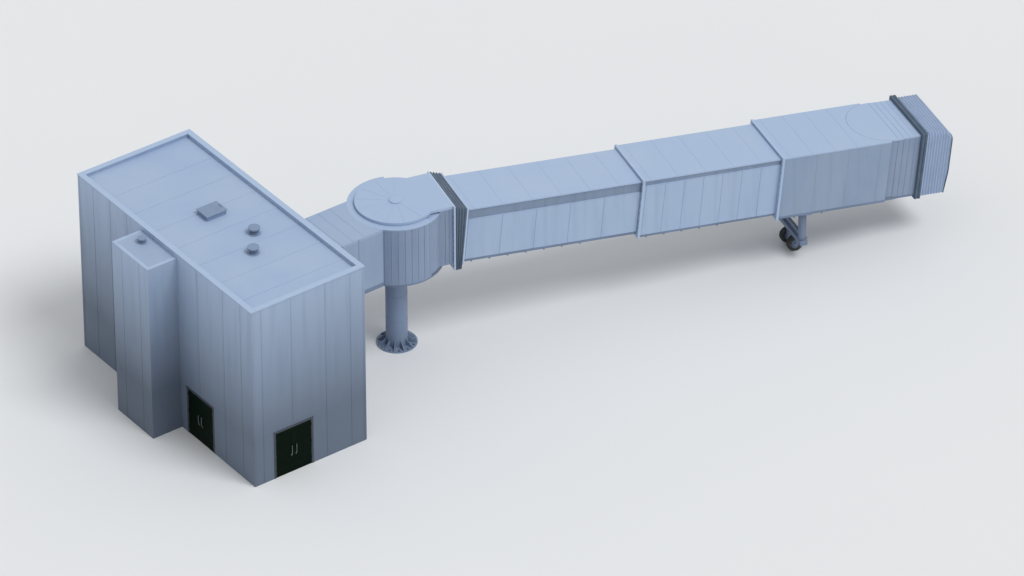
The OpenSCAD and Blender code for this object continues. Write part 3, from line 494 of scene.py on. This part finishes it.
for head_name, where in (("west_door_head", at_west_door), ("south_door_head", at_south_door)):
    head = bar((-head_t, -door_half, door_head), (0.001, door_half, door_head + 0.08))
    drip = bar((-0.040, -door_half - 0.02, door_head + 0.079), (0.001, door_half + 0.02, door_head + 0.087))
    fillets = both_sides(bar((-0.0008, leaf_w, 0.0), (0.001, trim_edge, door_head)))
    place(joined([eased(joined([head, drip]), 0.003, 1), fillets]), head_name, "gate", frame_paint, where)

# Floors: the block's are power-floated concrete, the bridge's are ribbed rubber on a steel deck that is
# painted on its edges and underside.
concrete, concrete_tree, concrete_shader, concrete_place = new_finish("floor_concrete", 0.7)
cement = noise(concrete_tree, concrete_place, 1.6, low=0.3, high=0.7, detail=8.0)
concrete_tree.links.new(mixed(concrete_tree, cement, tone(126, 130, 134), tone(150, 153, 155)),
                        concrete_shader.inputs["Base Color"])
add_bump(concrete_tree, concrete_shader, noise(concrete_tree, concrete_place, 25.0), 0.001)
dress(concrete, "ground_floor", "upper_floor")
deck, deck_tree, deck_shader, deck_place = new_finish("deck_rubber", 0.8)
scuffs = noise(deck_tree, deck_place, 2.2, stretch=(0.3, 1, 1), low=0.4, high=0.7)
walked_on = mixed(deck_tree, scaled(deck_tree, scuffs, 0.5), tone(96, 104, 114), tone(132, 138, 144))
underside = mixed(deck_tree, scaled(deck_tree, scuffs, 0.3), tone(114, 131, 157), tone(84, 94, 108))
deck_tree.links.new(mixed(deck_tree, facing(deck_tree, (0, 0, 1), 0.5, 0.6), underside, walked_on),
                    deck_shader.inputs["Base Color"])
ridges = deck_tree.nodes.new("ShaderNodeTexWave")
ridges.bands_direction = "Y"
ridges.inputs["Scale"].default_value = 12.0
deck_tree.links.new(deck_place, ridges.inputs["Vector"])
add_bump(deck_tree, deck_shader, ridges.outputs["Fac"], 0.002)
dress(deck, "link_floor", "rotunda_floor", "vestibule_floor", "cab_floor")
dress(deck, "tunnel_a_floor", "tunnel_b_floor", "tunnel_c_floor")

# The link: a short corridor of the same painted sheets, with standing seams across its roof and a flashing
# where it meets the block.
side_paint = paint("side_paint", tone(158, 179, 208), streak=0.16, roughness=0.5)
roof_paint = paint("roof_paint", tone(157, 178, 208), fade=0.12, streak=0.0, roughness=0.55)
link_paint = paint("link_paint", tone(139, 159, 187), streak=0.14, roughness=0.5)
dress(link_paint, "link_walls")
link_roof_paint = paint("link_roof_paint", tone(148, 168, 197), fade=0.12, streak=0.0, roughness=0.55)
dress(link_roof_paint, "link_roof")
link_top, seam_w, seam_pitch, apron_w, apron_t = 6.8, 0.04, 0.55, 0.06, 0.05
link_seam = bar((-4.6, -link_half, link_top - 0.001), (-4.6 + seam_w, link_half, link_top + 0.008))
link_seams = eased(row(link_seam, 5, (seam_pitch, 0, 0)), 0.003, 1)
place(link_seams, "link_roof_seams", "gate", link_roof_paint, in_block)
over_roof = bar((east_x, -link_half - apron_w, link_top),
                (east_x + 0.10, link_half + apron_w, link_top + apron_t))
beside = bar((east_x, link_half, 4.0), (east_x + apron_t, link_half + apron_w, link_top + apron_t))
flashing = joined([over_roof, both_sides(beside)])
place(eased(flashing, 0.006, 1), "link_flashing", "gate", coping_paint, in_block)
link_rib = bar((-4.3, link_half, 4.26), (-4.24, link_half + 0.015, link_top - 0.02))
link_ribs = both_sides(row(link_rib, 3, (0.8, 0, 0)))
place(eased(link_ribs, 0.004, 1), "link_side_ribs", "gate", link_paint, in_block)
link_joists = row(bar((-4.5, -1.1, 3.95), (-4.42, 1.1, 4.051)), 4, (0.75, 0, 0))
place(eased(link_joists, 0.006, 1), "link_floor_joists", "gate", side_paint, in_block)

# The column: rolled steel plate welded into a tube, on a stiffened foot held down by twelve anchor bolts
# with nuts and washers.
# The column's paint darkens towards its foot: painted shade.
column_paint = paint("column_paint", tone(124, 143, 172), fade=0.08, streak=0.16, foot_shade=0.25, foot_shade_top=1.5,
                     wear=0.5)
dress(column_paint, "column")
anchor_r, anchor_count, foot_t = 0.75, 12, 0.04


def ringed(piece, count, first=0.0, sweep=360.0, centre=(0, 0, 0), axis=(0, 0, 1)):
    """Copies of a piece set round an axis, from its own place and through a sweep."""
    closed = sweep >= 360.0
    edited(piece, spin={"steps": count if closed else count - 1, "dupli": True, "angle": -radians(sweep),
                        "center": centre, "axis": axis})
    if closed:
        edited(piece, remove_doubles={"threshold": 0.00005})
    piece.rotation_euler = (0, 0, radians(first))
    return settled(piece)


nut_foot = foot_t + 0.006
bolt = joined([lathe(0.045, foot_t, nut_foot, anchor_r, 0, 20),
               eased(lathe(0.034, nut_foot, nut_foot + 0.03, anchor_r, 0, 6), 0.003, 1),
               lathe(0.019, foot_t + 0.03, foot_t + 0.075, anchor_r, 0, 12)])
place(ringed(bolt, anchor_count, first=15.0), "anchor_nuts", "gate", steel)
weld_rings = joined([smooth(lathe(0.456, z, z + 0.014, sides=96)) for z in (1.25, 2.45)])
place(weld_rings, "column_weld_beads", "gate", column_paint)

# The drum: fixed curved shells beside the link, pressed with upright ribs, and behind them the slatted
# curtains that turn with the tunnels. The rim and disc above keep the rain out.
drum_paint = paint("drum_paint", tone(130, 148, 176), streak=0.22, roughness=0.5)
dress(drum_paint, "drum_shell", "drum_curtains")
dress(roof_paint, "turning_roof")
drum_r, drum_low, drum_high = 1.95, 4.13, 6.74
swing_north, swing_south, curtain_lap = 38, 21, 2
link_angle = degrees(asin(link_half / drum_r))
vestibule_angle = degrees(asin(1.30 / drum_r))
shell_north = 180 + block_turn - link_angle - vestibule_angle - swing_north - curtain_lap
shell_south = 180 - block_turn - link_angle - vestibule_angle - swing_south - curtain_lap
rib_w, rib_t = 0.055, 0.014
for rib_name, first, sweep in (("drum_ribs_north", 180 - link_angle - shell_north, shell_north),
                               ("drum_ribs_south", 180 + link_angle, shell_south)):
    rib = bar((drum_r - 0.004, -rib_w / 2, drum_low + 0.02), (drum_r + rib_t, rib_w / 2, drum_high))
    count = int(sweep / 7.0)
    ribs = ringed(eased(rib, 0.005, 1), count, first=first + 2.0, sweep=sweep - 4.0)
    place(ribs, rib_name, "gate", drum_paint, in_block)
slat_w, slat_t, curtain_r, curtain_top = 0.07, 0.006, 1.89, 6.66
for slat_name, first, sweep in (("curtain_slats_north", 42.5, shell_north - 1.2),
                                ("curtain_slats_south", -41.9 - shell_south + 1.0, shell_south - 1.2)):
    slat = bar((curtain_r - 0.003, -slat_w / 2, drum_low + 0.02),
               (curtain_r + slat_t, slat_w / 2, curtain_top))
    slats = ringed(eased(slat, 0.002, 1), int(sweep / 3.0), first=first, sweep=sweep)
    place(slats, slat_name, "swing_frame", drum_paint)



def loft(rings, closed=True):
    """A skin through rings of points, as many in each; a closed one joins each ring's end to its start."""
    rows = len(rings) - 1
    columns = len(rings[0]) - (0 if closed else 1)
    bpy.ops.object.select_all(action="DESELECT")
    bpy.ops.mesh.primitive_grid_add(x_subdivisions=rows, y_subdivisions=columns, size=1)
    piece = bpy.context.active_object
    for vertex in piece.data.vertices:
        ring = rings[round((vertex.co.x + 0.5) * rows)]
        vertex.co = ring[round((vertex.co.y + 0.5) * columns) % len(ring)]
    return edited(piece, remove_doubles={"threshold": 0.0001}, normals_make_consistent={"inside": False})


def ends_filled(piece):
    """A lofted skin with its open ends closed."""
    return edited(piece, fill_holes={"sides": 0}, normals_make_consistent={"inside": False})


rim_top, rim_in, rim_out, rim_t, rim_fold = 6.80, 1.665, drum_r + 0.008, 0.003, 0.05
cap_profile = [(rim_in, rim_top - 0.001), (rim_in, rim_top + rim_t), (rim_out, rim_top + rim_t),
               (rim_out, rim_top - rim_fold), (drum_r + rim_t, rim_top - rim_fold),
               (drum_r + rim_t, rim_top - 0.001)]
cap_start = 180 - link_angle - shell_north
cap_sweep = shell_north + 2 * link_angle + shell_south
cap_steps = 96
cap_rings = []
for step in range(cap_steps + 1):
    angle = radians(cap_start + cap_sweep * step / cap_steps)
    cap_rings.append([Vector((radius * cos(angle), radius * sin(angle), up)) for radius, up in cap_profile])
cap_lap = bar((rim_in + 0.01, -0.03, rim_top + 0.002), (rim_out, 0.03, rim_top + 0.007))
cap_laps = ringed(eased(cap_lap, 0.002, 1), 7, first=cap_start + 5.0, sweep=cap_sweep - 10.0)
capping = smooth(ends_filled(loft(cap_rings)), 30)
place(joined([capping, cap_laps]), "drum_rim_capping", "gate", roof_paint, in_block)

disc_r, disc_top = 1.65, 6.93
disc_seam = bar((0.25, -0.020, disc_top - 0.001), (disc_r - 0.05, 0.020, disc_top + 0.006))
disc_seams = ringed(eased(disc_seam, 0.003, 1), 9, first=70.0, sweep=220.0)
hub = eased(lathe(0.26, disc_top - 0.001, disc_top + 0.045, sides=48), 0.015, 3)
place(smooth(joined([disc_seams, hub])), "turning_roof_seams", "swing_frame", roof_paint)

# The vestibule: short boxed walls with pressed ribs behind a welded portal frame that is bolted to them, and
# the slewing collar below. A tread plate bridges the gap to the first tunnel.
dress(paint("vestibule_paint", tone(120, 138, 165), streak=0.16), "vestibule_walls")
portal_paint = paint("portal_paint", tone(172, 191, 219), fade=0.05, streak=0.08, wear=0.45, roughness=0.42)
dress(portal_paint, "vestibule_portal", "tunnel_a_collar")
collar_paint = paint("collar_paint", tone(112, 130, 158), fade=0.06, wear=0.5)
dress(collar_paint, "slewing_collar")
tread, tread_tree, tread_shader, tread_place = new_finish("tread_plate", 0.45, metallic=0.7)
worn = noise(tread_tree, tread_place, 4.0)
tread_tree.links.new(mixed(tread_tree, worn, tone(104, 110, 116), tone(142, 147, 152)),
                     tread_shader.inputs["Base Color"])
lozenges = tread_tree.nodes.new("ShaderNodeTexWave")
lozenges.bands_direction = "DIAGONAL"
lozenges.inputs["Scale"].default_value = 16.0
tread_tree.links.new(tread_place, lozenges.inputs["Vector"])
add_bump(tread_tree, tread_shader, lozenges.outputs["Fac"], 0.0015)
dress(tread, "threshold_plate")
portal_x, portal_half = 2.04, 1.40


def studs_on(points, turn):
    """A hexagon head at each point, turned to stand on its plate."""
    heads = []
    for point in points:
        head = eased(lathe(0.024, -0.001, 0.016, sides=6), 0.002, 1)
        heads.append(moved(head, Matrix.Translation(point) @ turn))
    return joined(heads)


facing_back = Matrix.Rotation(-pi / 2, 4, "Y")
facing_ahead = Matrix.Rotation(pi / 2, 4, "Y")
portal_points = [(portal_x - 0.07, side * (portal_half - 0.05), 4.05 + 0.3 * step)
                 for side in (-1, 1) for step in range(9)]
place(studs_on(portal_points, facing_back), "portal_bolts", "swing_frame", steel)

# The seal at the pitch joint: one folded sleeve of rubberised cloth over the sides and top, between the
# portal and the first tunnel's collar.
fabric, fabric_tree, fabric_shader, fabric_place = new_finish("bellows_cloth", 0.78)
weave = noise(fabric_tree, fabric_place, 180.0, detail=2.0)
dusty = noise(fabric_tree, fabric_place, 3.0, low=0.45, high=0.8)
dusty = scaled(fabric_tree, dusty, 0.3)
fabric_tree.links.new(mixed(fabric_tree, dusty, tone(82, 98, 117), tone(120, 132, 148)),
                      fabric_shader.inputs["Base Color"])
fabric_shader.inputs["Sheen Weight"].default_value = 0.15
add_bump(fabric_tree, fabric_shader, weave, 0.001)


def arch(half, low, high, corner, side_steps=8, arc_steps=6):
    """Points up one side, over two round corners and down the other, as (across, up) pairs."""
    points = [(half, low + (high - corner - low) * step / side_steps) for step in range(side_steps + 1)]
    for step in range(1, arc_steps + 1):
        angle = radians(90 * step / arc_steps)
        points.append((half - corner + corner * cos(angle), high - corner + corner * sin(angle)))
    points += [((half - corner) * (1 - step / 4), high) for step in range(1, 5)]
    return points + [(-across, up) for across, up in reversed(points[:-1])]


seal_low, seal_high, seal_high_ahead, seal_half = 3.87, 6.94, 6.74, 1.44
fold_deep, folds, fold_steps = 0.055, 4, 8
collar_face, collar_lean, collar_level = 2.309, 0.0875, 3.996
seal_rings = []
for step in range(folds * fold_steps + 1):
    share = step / (folds * fold_steps)
    dip = fold_deep * (0.5 + 0.5 * cos(2 * pi * folds * share))
    top = seal_high + (seal_high_ahead - seal_high) * share
    ring = []
    for across, up in arch(seal_half - dip, seal_low, top - dip, 0.10):
        ahead = collar_face + (up - collar_level) * collar_lean
        ring.append(Vector((portal_x + (ahead - portal_x) * share, across, up)))
    seal_rings.append(ring)
seal = loft(seal_rings, closed=False)
apply(seal, "SOLIDIFY", thickness=0.006, offset=0)
smooth(seal, 60)
seal.name = "pitch_bellows"
seal.data.materials.append(fabric)
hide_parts("tunnel_seal")
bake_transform(seal)

# The three telescoping tunnels: welded frames with ribbed side sheets. A's and B's sheets stand back under
# the roof edge, where a band of long panels runs, painted dark as painted shade in the recess. Seams cross
# the roofs, and joists carry the floors.
dress(side_paint, "tunnel_a_walls", "tunnel_b_walls")
plain_paint = paint("tunnel_c_paint", tone(132, 151, 178), streak=0.14, roughness=0.5)
dress(plain_paint, "tunnel_c_walls")
# The B and C collars are painted lighter than the roofs: painted light that fills the shade on their front
# faces.
tunnel_collar_paint = paint("tunnel_collar_paint", tone(164, 185, 214), fade=0.05, streak=0.06)
dress(tunnel_collar_paint, "tunnel_b_collar", "tunnel_c_collar")
dress(roof_paint, "tunnel_a_roof", "tunnel_b_roof", "tunnel_c_roof", "cab_roof")
pitch_x, pitch_z, slope = 2.15, 4.01, 5
in_tunnel = Matrix.Translation((pitch_x, 0, pitch_z)) @ Matrix.Rotation(radians(slope), 4, "Y")
# The band panels are painted dark as painted shade in the recess under the roof edge.
band_shade_paint = paint("band_shade_paint", tone(118, 136, 162), fade=0.08, streak=0.2)
joist_paint = paint("joist_paint", tone(112, 128, 154), fade=0.06, streak=0.1)
seam_h, edge_t, rail_h, joist_w, joist_h, joist_t = 0.006, 0.010, 0.022, 0.07, 0.09, 0.008
tunnels = {
    "a": {"start": 0.30, "end": 9.55, "half": 1.30, "low": 0.12, "wall": 0.24, "top": 2.62,
          "band": 0.43, "panels": 4, "seams": 7, "joists": (0.6, 1.4, 2.2, 3.0, 3.8, 4.6, 5.4)},
    "b": {"start": 8.05, "end": 15.75, "half": 1.42, "low": 0.0, "wall": 0.10, "top": 2.71,
          "band": 0.20, "panels": 3, "seams": 6, "joists": (8.3, 9.1, 9.9, 10.7, 11.5)},
    "c": {"start": 14.25, "end": 19.05, "half": 1.56, "low": -0.13, "top": 2.80,
          "band": 0.0, "seams": 3, "joists": (14.4, 14.95, 16.2)},
}
for letter, size in tunnels.items():
    body = f"tunnel_{letter}"
    start, end, half, top = size["start"], size["end"], size["half"], size["top"]
    seam_end = 17.6 if letter == "c" else end
    pitch = (seam_end - start - 0.3) / size["seams"]
    seam = bar((start + 0.2, -half + 0.02, top - 0.001), (start + 0.2 + seam_w, half - 0.02, top + seam_h))
    seams = row(seam, size["seams"] + 1, (pitch, 0, 0))
    place(eased(seams, 0.003, 1), f"{body}_roof_seams", body, roof_paint, in_tunnel)
    drip = both_sides(bar((start, half - 0.002, top - 0.052), (end, half + edge_t, top - 0.012)))
    place(eased(drip, 0.003, 1), f"{body}_drip_edges", body, roof_paint, in_tunnel)
    if size["band"]:
        face, under, foot = half - 0.035, top - 0.06 - size["band"], size["wall"]
        panel_l = (end - start) / size["panels"]
        panel = bar((start, face - 0.001, under + 0.012), (start + panel_l - 0.012, face + 0.006, top - 0.07))
        panels = both_sides(row(panel, size["panels"], (panel_l, 0, 0)))
        place(eased(panels, 0.002, 1), f"{body}_band_panels", body, band_shade_paint, in_tunnel)
        rails = [bar((start, half - 0.002, level), (end, half + edge_t, level + rail_h))
                 for level in (foot + 0.003, under - rail_h - 0.003)]
        place(eased(both_sides(joined(rails)), 0.003, 1), f"{body}_side_rails", body, side_paint, in_tunnel)
    joists, side, low = [], half - 0.06, size["low"]
    for at in size["joists"]:
        joists.append(bar((at, -side, low - joist_t), (at + joist_w, side, low + 0.001)))
        joists.append(bar((at, -side, low - joist_h), (at + joist_t, side, low)))
        joists.append(bar((at, -side, low - joist_h), (at + joist_w, side, low - joist_h + joist_t)))
    place(eased(joined(joists), 0.002, 1), f"{body}_floor_joists", body, joist_paint, in_tunnel)
joint_strips = row(bar((15.7, 1.558, -0.01), (15.74, 1.566, 2.73)), 3, (1.45, 0, 0))
place(eased(both_sides(joint_strips), 0.002, 1), "tunnel_c_joint_strips", "tunnel_c", plain_paint, in_tunnel)
collar_bolts = [(0.23, side * 1.375, 0.25 + 0.3 * step) for side in (-1, 1) for step in range(8)]
place(studs_on(collar_bolts, facing_ahead), "tunnel_a_collar_bolts", "tunnel_a", steel, in_tunnel)
for letter, at, across, foot in (("b", 7.90, 1.393, 0.10), ("c", 14.10, 1.523, 0.0)):
    points = [(at, side * across, foot + 0.35 * step) for side in (-1, 1) for step in range(8)]
    collar_bolts = studs_on(points, facing_back)
    place(collar_bolts, f"tunnel_{letter}_collar_bolts", f"tunnel_{letter}", steel, in_tunnel)

# The drive column: two lift tubes with bolted flanges, a cross beam with wear rings, and a steering bogie
# whose two solid tyres are moulded on pressed disc wheels.
leg_paint = paint("leg_paint", tone(108, 124, 150), fade=0.06, streak=0.1, wear=0.6)
dress(leg_paint, "lift_tubes", "lift_crossbeam", "bogie")
drive_x, leg_y, flange_top, beam_top, wheel_r, wheel_y = 17.6688, 1.0, 1.04, 0.98, 0.36, 0.34
flange_bolts, wear_rings, crown_bands = [], [], []
for side in (-1, 1):
    bolt = eased(lathe(0.012, flange_top - 0.001, flange_top + 0.012, 0.188, 0, 6), 0.001, 1)
    flange_bolts.append(moved(ringed(bolt, 12), Matrix.Translation((drive_x, side * leg_y, 0))))
    wear_ring = lathe(0.20, beam_top - 0.001, beam_top + 0.012, drive_x, side * leg_y, 48)
    wear_rings.append(smooth(eased(wear_ring, 0.003, 2)))
    crown_band = lathe(0.178, 2.10, 2.16, drive_x, side * leg_y, 64)
    crown_bands.append(smooth(eased(crown_band, 0.004, 2)))
place(joined(flange_bolts), "lift_flange_bolts", "lift_frame", steel)
place(joined(crown_bands), "lift_tube_bands", "lift_frame", leg_paint)
place(joined(wear_rings), "leg_wear_rings", "lift_beam", leg_paint)
end_plate = bar((drive_x - 0.165, leg_y + 0.199, 0.75), (drive_x + 0.165, leg_y + 0.209, 0.99))
place(both_sides(eased(end_plate, 0.003, 1)), "cross_beam_end_plates", "lift_beam", leg_paint)

rubber, rubber_tree, rubber_shader, rubber_place = new_finish("tyre_rubber", 0.85)
scuff = noise(rubber_tree, rubber_place, 9.0)
rubber_tree.links.new(mixed(rubber_tree, scaled(rubber_tree, scuff, 0.4), tone(34, 35, 37), tone(84, 84, 84)),
                      rubber_shader.inputs["Base Color"])
add_bump(rubber_tree, rubber_shader, noise(rubber_tree, rubber_place, 40.0), 0.002)


def turned(profile, sides=96):
    """A ring turned about the Y axis, from a closed profile of (radius, across) pairs."""
    rings = []
    for step in range(sides + 1):
        angle = 2 * pi * step / sides
        rings.append([Vector((radius * cos(angle), across, radius * sin(angle)))
                      for radius, across in profile])
    return loft(rings)


def mirrored_profile(half_profile):
    """A closed profile from its half with across above 0."""
    return half_profile + [(radius, -across) for radius, across in reversed(half_profile)]


tread_half = [(0.206, 0.112), (0.216, 0.120), (0.27, 0.121), (0.325, 0.118), (0.346, 0.108), (0.357, 0.093),
              (0.360, 0.080), (0.360, 0.062), (0.350, 0.060), (0.350, 0.050), (0.360, 0.048), (0.360, 0.024),
              (0.350, 0.022), (0.350, 0.012), (0.360, 0.010)]
disc_half = [(0.057, 0.080), (0.112, 0.080), (0.122, 0.070), (0.130, 0.050), (0.180, 0.050), (0.192, 0.060),
             (0.196, 0.108), (0.208, 0.110)]
for side, name in ((1, "north"), (-1, "south")):
    where = Matrix.Translation((drive_x, side * wheel_y, wheel_r))
    tyre = smooth(turned(mirrored_profile(tread_half)), 35)
    place(tyre, f"{name}_tyre", f"{name}_wheel", rubber, where)
    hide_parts(f"wheel_{name}")
    disc = smooth(turned(mirrored_profile(disc_half)), 35)
    place(disc, f"{name}_wheel_disc", f"{name}_wheel", leg_paint, where)
    nut = eased(lathe(0.013, 0.049, 0.066, 0.155, 0, 6), 0.001, 1)
    nuts = moved(ringed(nut, 8), Matrix.Rotation(-side * pi / 2, 4, "X"))
    place(nuts, f"{name}_wheel_nuts", f"{name}_wheel", steel, where)
    cap = smooth(eased(lathe(0.062, 0.139, 0.160, sides=32), 0.006, 3))
    cap = moved(cap, Matrix.Rotation(-side * pi / 2, 4, "X"))
    place(cap, f"{name}_axle_cap", "bogie_frame", leg_paint, where)

# The cab: a boxed head on a turntable, with ribbed sides and roof between its round back and the closure
# ring, a moulded rubber channel bolted round the head.
cab_paint = paint("cab_paint", tone(128, 146, 173), streak=0.14)
dress(cab_paint, "cab_walls")
cab_at, cab_half, cab_top = 19.35, 1.45, 2.80
roof_rib = bar((cab_at + 0.07, -cab_half, cab_top - 0.001), (cab_at + 0.14, cab_half, cab_top + 0.012))
place(eased(row(roof_rib, 4, (0.26, 0, 0)), 0.004, 1), "cab_roof_ribs", "cab", roof_paint, in_tunnel)
rubber_grey, grey_tree, grey_shader, grey_place = new_finish("closure_rubber", 0.7)
grey_dust = noise(grey_tree, grey_place, 2.4, low=0.4, high=0.8)
grey_dust = scaled(grey_tree, grey_dust, 0.3)
grey_tree.links.new(mixed(grey_tree, grey_dust, tone(72, 90, 110), tone(116, 130, 148)),
                    grey_shader.inputs["Base Color"])
add_bump(grey_tree, grey_shader, noise(grey_tree, grey_place, 70.0, detail=2.0), 0.0008)
ring_at, ring_proud, ring_corner = 1.10, 0.16, 0.09
ring_low, ring_high = -0.25, cab_top + ring_proud
ring_profile = [(0.0, 0.158), (0.0, 0.02), (0.012, 0.004), (0.03, 0.0), (0.085, 0.0), (0.105, 0.012),
                (0.115, 0.035), (0.135, 0.035), (0.145, 0.012), (0.165, 0.0), (0.22, 0.0), (0.238, 0.004),
                (0.25, 0.02), (0.25, 0.158)]


def rounded_outline(half, low, high, corner, arc=6):
    """Points round a rectangle with round corners, as (across, up) pairs."""
    points = []
    for centre_y, centre_z, first in ((half - corner, high - corner, 0), (corner - half, high - corner, 90),
                                      (corner - half, low + corner, 180), (half - corner, low + corner, 270)):
        for step in range(arc + 1):
            angle = radians(first + 90 * step / arc)
            points.append((centre_y + corner * cos(angle), centre_z + corner * sin(angle)))
    return points


ring_rings = []
for along, inset in ring_profile:
    low_inset = min(inset, 0.118)
    around = rounded_outline(cab_half + ring_proud - inset, ring_low + low_inset, ring_high - inset,
                             max(0.004, ring_corner - inset))
    ring_rings.append([Vector((cab_at + ring_at + along, across, up)) for across, up in around])
closure = smooth(loft(ring_rings + ring_rings[:1]), 50)
place(closure, "cab_closure_ring", "cab", rubber_grey, in_tunnel, slot="dark_seal")
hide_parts("cab_seal")

# The bumper under the cab's mouth: a strip of solid rubber with upright pads that touch the hull.
dress(rubber_grey, "cab_bumper")
pad = bar((cab_at + 2.398, -1.30, -0.125), (cab_at + 2.418, -1.12, -0.025))
place(eased(row(pad, 11, (0, 0.242, 0)), 0.008, 3), "cab_bumper_pads", "cab", rubber_grey, in_tunnel)

# The hood: coated cloth folded over hoops over the cab's mouth. Its top slopes down at the front, where a
# round hoop and a hem close it.
hood_start, hood_l, chin_l = cab_at + 1.37, 1.155, 0.12
hood_half, hood_top, hood_low = cab_half + 0.115, cab_top + 0.085, -0.12
hood_slope_l, hood_drop, hood_corner, hood_folds, hood_fold = 0.225, 0.31, 0.16, 9, 0.045
hood_cloth, hood_tree, hood_shader, hood_place = new_finish("hood_cloth", 0.8)
hood_weave = noise(hood_tree, hood_place, 160.0, detail=2.0)
hood_dust = noise(hood_tree, hood_place, 1.8, low=0.4, high=0.8)
hood_dust = scaled(hood_tree, hood_dust, 0.3)
hood_tree.links.new(mixed(hood_tree, hood_dust, tone(146, 165, 195), tone(120, 136, 162)),
                    hood_shader.inputs["Base Color"])
hood_shader.inputs["Sheen Weight"].default_value = 0.2
add_bump(hood_tree, hood_shader, hood_weave, 0.001)


def hood_ring(share, dip):
    """The hood's section at a share of its length, with the chin leaning back at the front."""
    ahead = share * hood_l
    top = hood_top - hood_drop * max(0.0, ahead - hood_l + hood_slope_l) / hood_slope_l
    ring = []
    for across, up in arch(hood_half - dip, hood_low, top - dip, hood_corner):
        rise = (up - hood_low) / (hood_top - hood_low)
        chin = max(0.0, 1 - 3 * rise) * max(0.0, ahead - hood_l + chin_l)
        ring.append(Vector((hood_start + ahead - chin, across, up)))
    return ring


hood_rings = []
for step in range(hood_folds * 8 + 1):
    share = step / (hood_folds * 8)
    hood_rings.append(hood_ring(share, hood_fold * (0.5 - 0.5 * cos(2 * pi * hood_folds * share))))
hood = loft(hood_rings, closed=False)
apply(hood, "SOLIDIFY", thickness=0.006, offset=0)
smooth(hood, 60)
moved(hood, in_tunnel)
hood.name = "hood_cover"
hood.data.materials.append(hood_cloth)
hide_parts("canopy")
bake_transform(hood)


def hoop(path, radius, sides=12):
    """A round bar bent along a path, with closed ends."""
    rings = []
    for index, point in enumerate(path):
        ahead = path[min(index + 1, len(path) - 1)]
        behind = path[max(index - 1, 0)]
        tangent = (ahead - behind).normalized()
        outward = tangent.cross(Vector((1, 0, 0))).normalized()
        along = outward.cross(tangent)
        turns = [2 * pi * turn / sides for turn in range(sides)]
        rings.append([point + radius * (outward * cos(turn) + along * sin(turn)) for turn in turns])
    return smooth(ends_filled(loft(rings)), 50)


place(hoop(hood_ring(1.0, 0.004), 0.024), "hood_front_hoop", "canopy_hood", rubber_grey, in_tunnel)
place(hoop(hood_ring(0.0, 0.002), 0.016), "hood_rear_hoop", "cab", portal_paint, in_tunnel)

# The floor, the light and the camera, at the photograph's viewing angle.
bpy.ops.object.select_all(action="DESELECT")
bpy.ops.mesh.primitive_plane_add(size=900, location=(0, 0, 0))
ground = bpy.context.active_object
ground.name = "studio_floor"
floor_material, floor_tree, floor_shader, floor_place = new_finish("studio_floor", 0.9)
pale = noise(floor_tree, floor_place, 0.05, low=0.3, high=0.7)
pale = scaled(floor_tree, pale, 0.2)
floor_tree.links.new(mixed(floor_tree, pale, tone(226, 228, 230), tone(220, 223, 226)),
                     floor_shader.inputs["Base Color"])
ground.data.materials.append(floor_material)
ground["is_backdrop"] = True

world = bpy.data.worlds.new("studio")
bpy.context.scene.world = world
world.use_nodes = True
sky = world.node_tree.nodes["Background"]
sky.inputs["Color"].default_value = (1, 1, 1, 1)
rays = world.node_tree.nodes.new("ShaderNodeLightPath").outputs
seen = combined(world.node_tree, "MAXIMUM", rays["Is Camera Ray"], rays["Is Glossy Ray"])
seen = combined(world.node_tree, "MAXIMUM", seen, rays["Is Transmission Ray"])
world.node_tree.links.new(ranged(world.node_tree, seen, 0.0, 1.0, 0.62, 1.0), sky.inputs["Strength"])

bpy.ops.object.light_add(type="SUN", location=(0, 0, 30))
sun = bpy.context.active_object
sun.data.energy = 1.5
sun.data.angle = radians(25)
sun.rotation_euler = Vector((-0.35, 0.55, -1.0)).to_track_quat("-Z", "Y").to_euler()

azimuth, elevation = radians(-23.1), radians(34.7)
back = Vector((sin(azimuth) * cos(elevation), -cos(azimuth) * cos(elevation), sin(elevation)))
aim = Vector((5.09, 0, 1.265))
distance = 290.0
facing_aim = (-back).to_track_quat("-Z", "Y").to_euler()
bpy.ops.object.camera_add(location=aim + back * distance, rotation=facing_aim)
camera = bpy.context.active_object
camera.data.lens = 250
camera.data.sensor_width = 36
camera.data.clip_end = 2000
bpy.context.scene.camera = camera
bpy.context.scene.view_settings.view_transform = "Standard"

low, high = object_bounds()
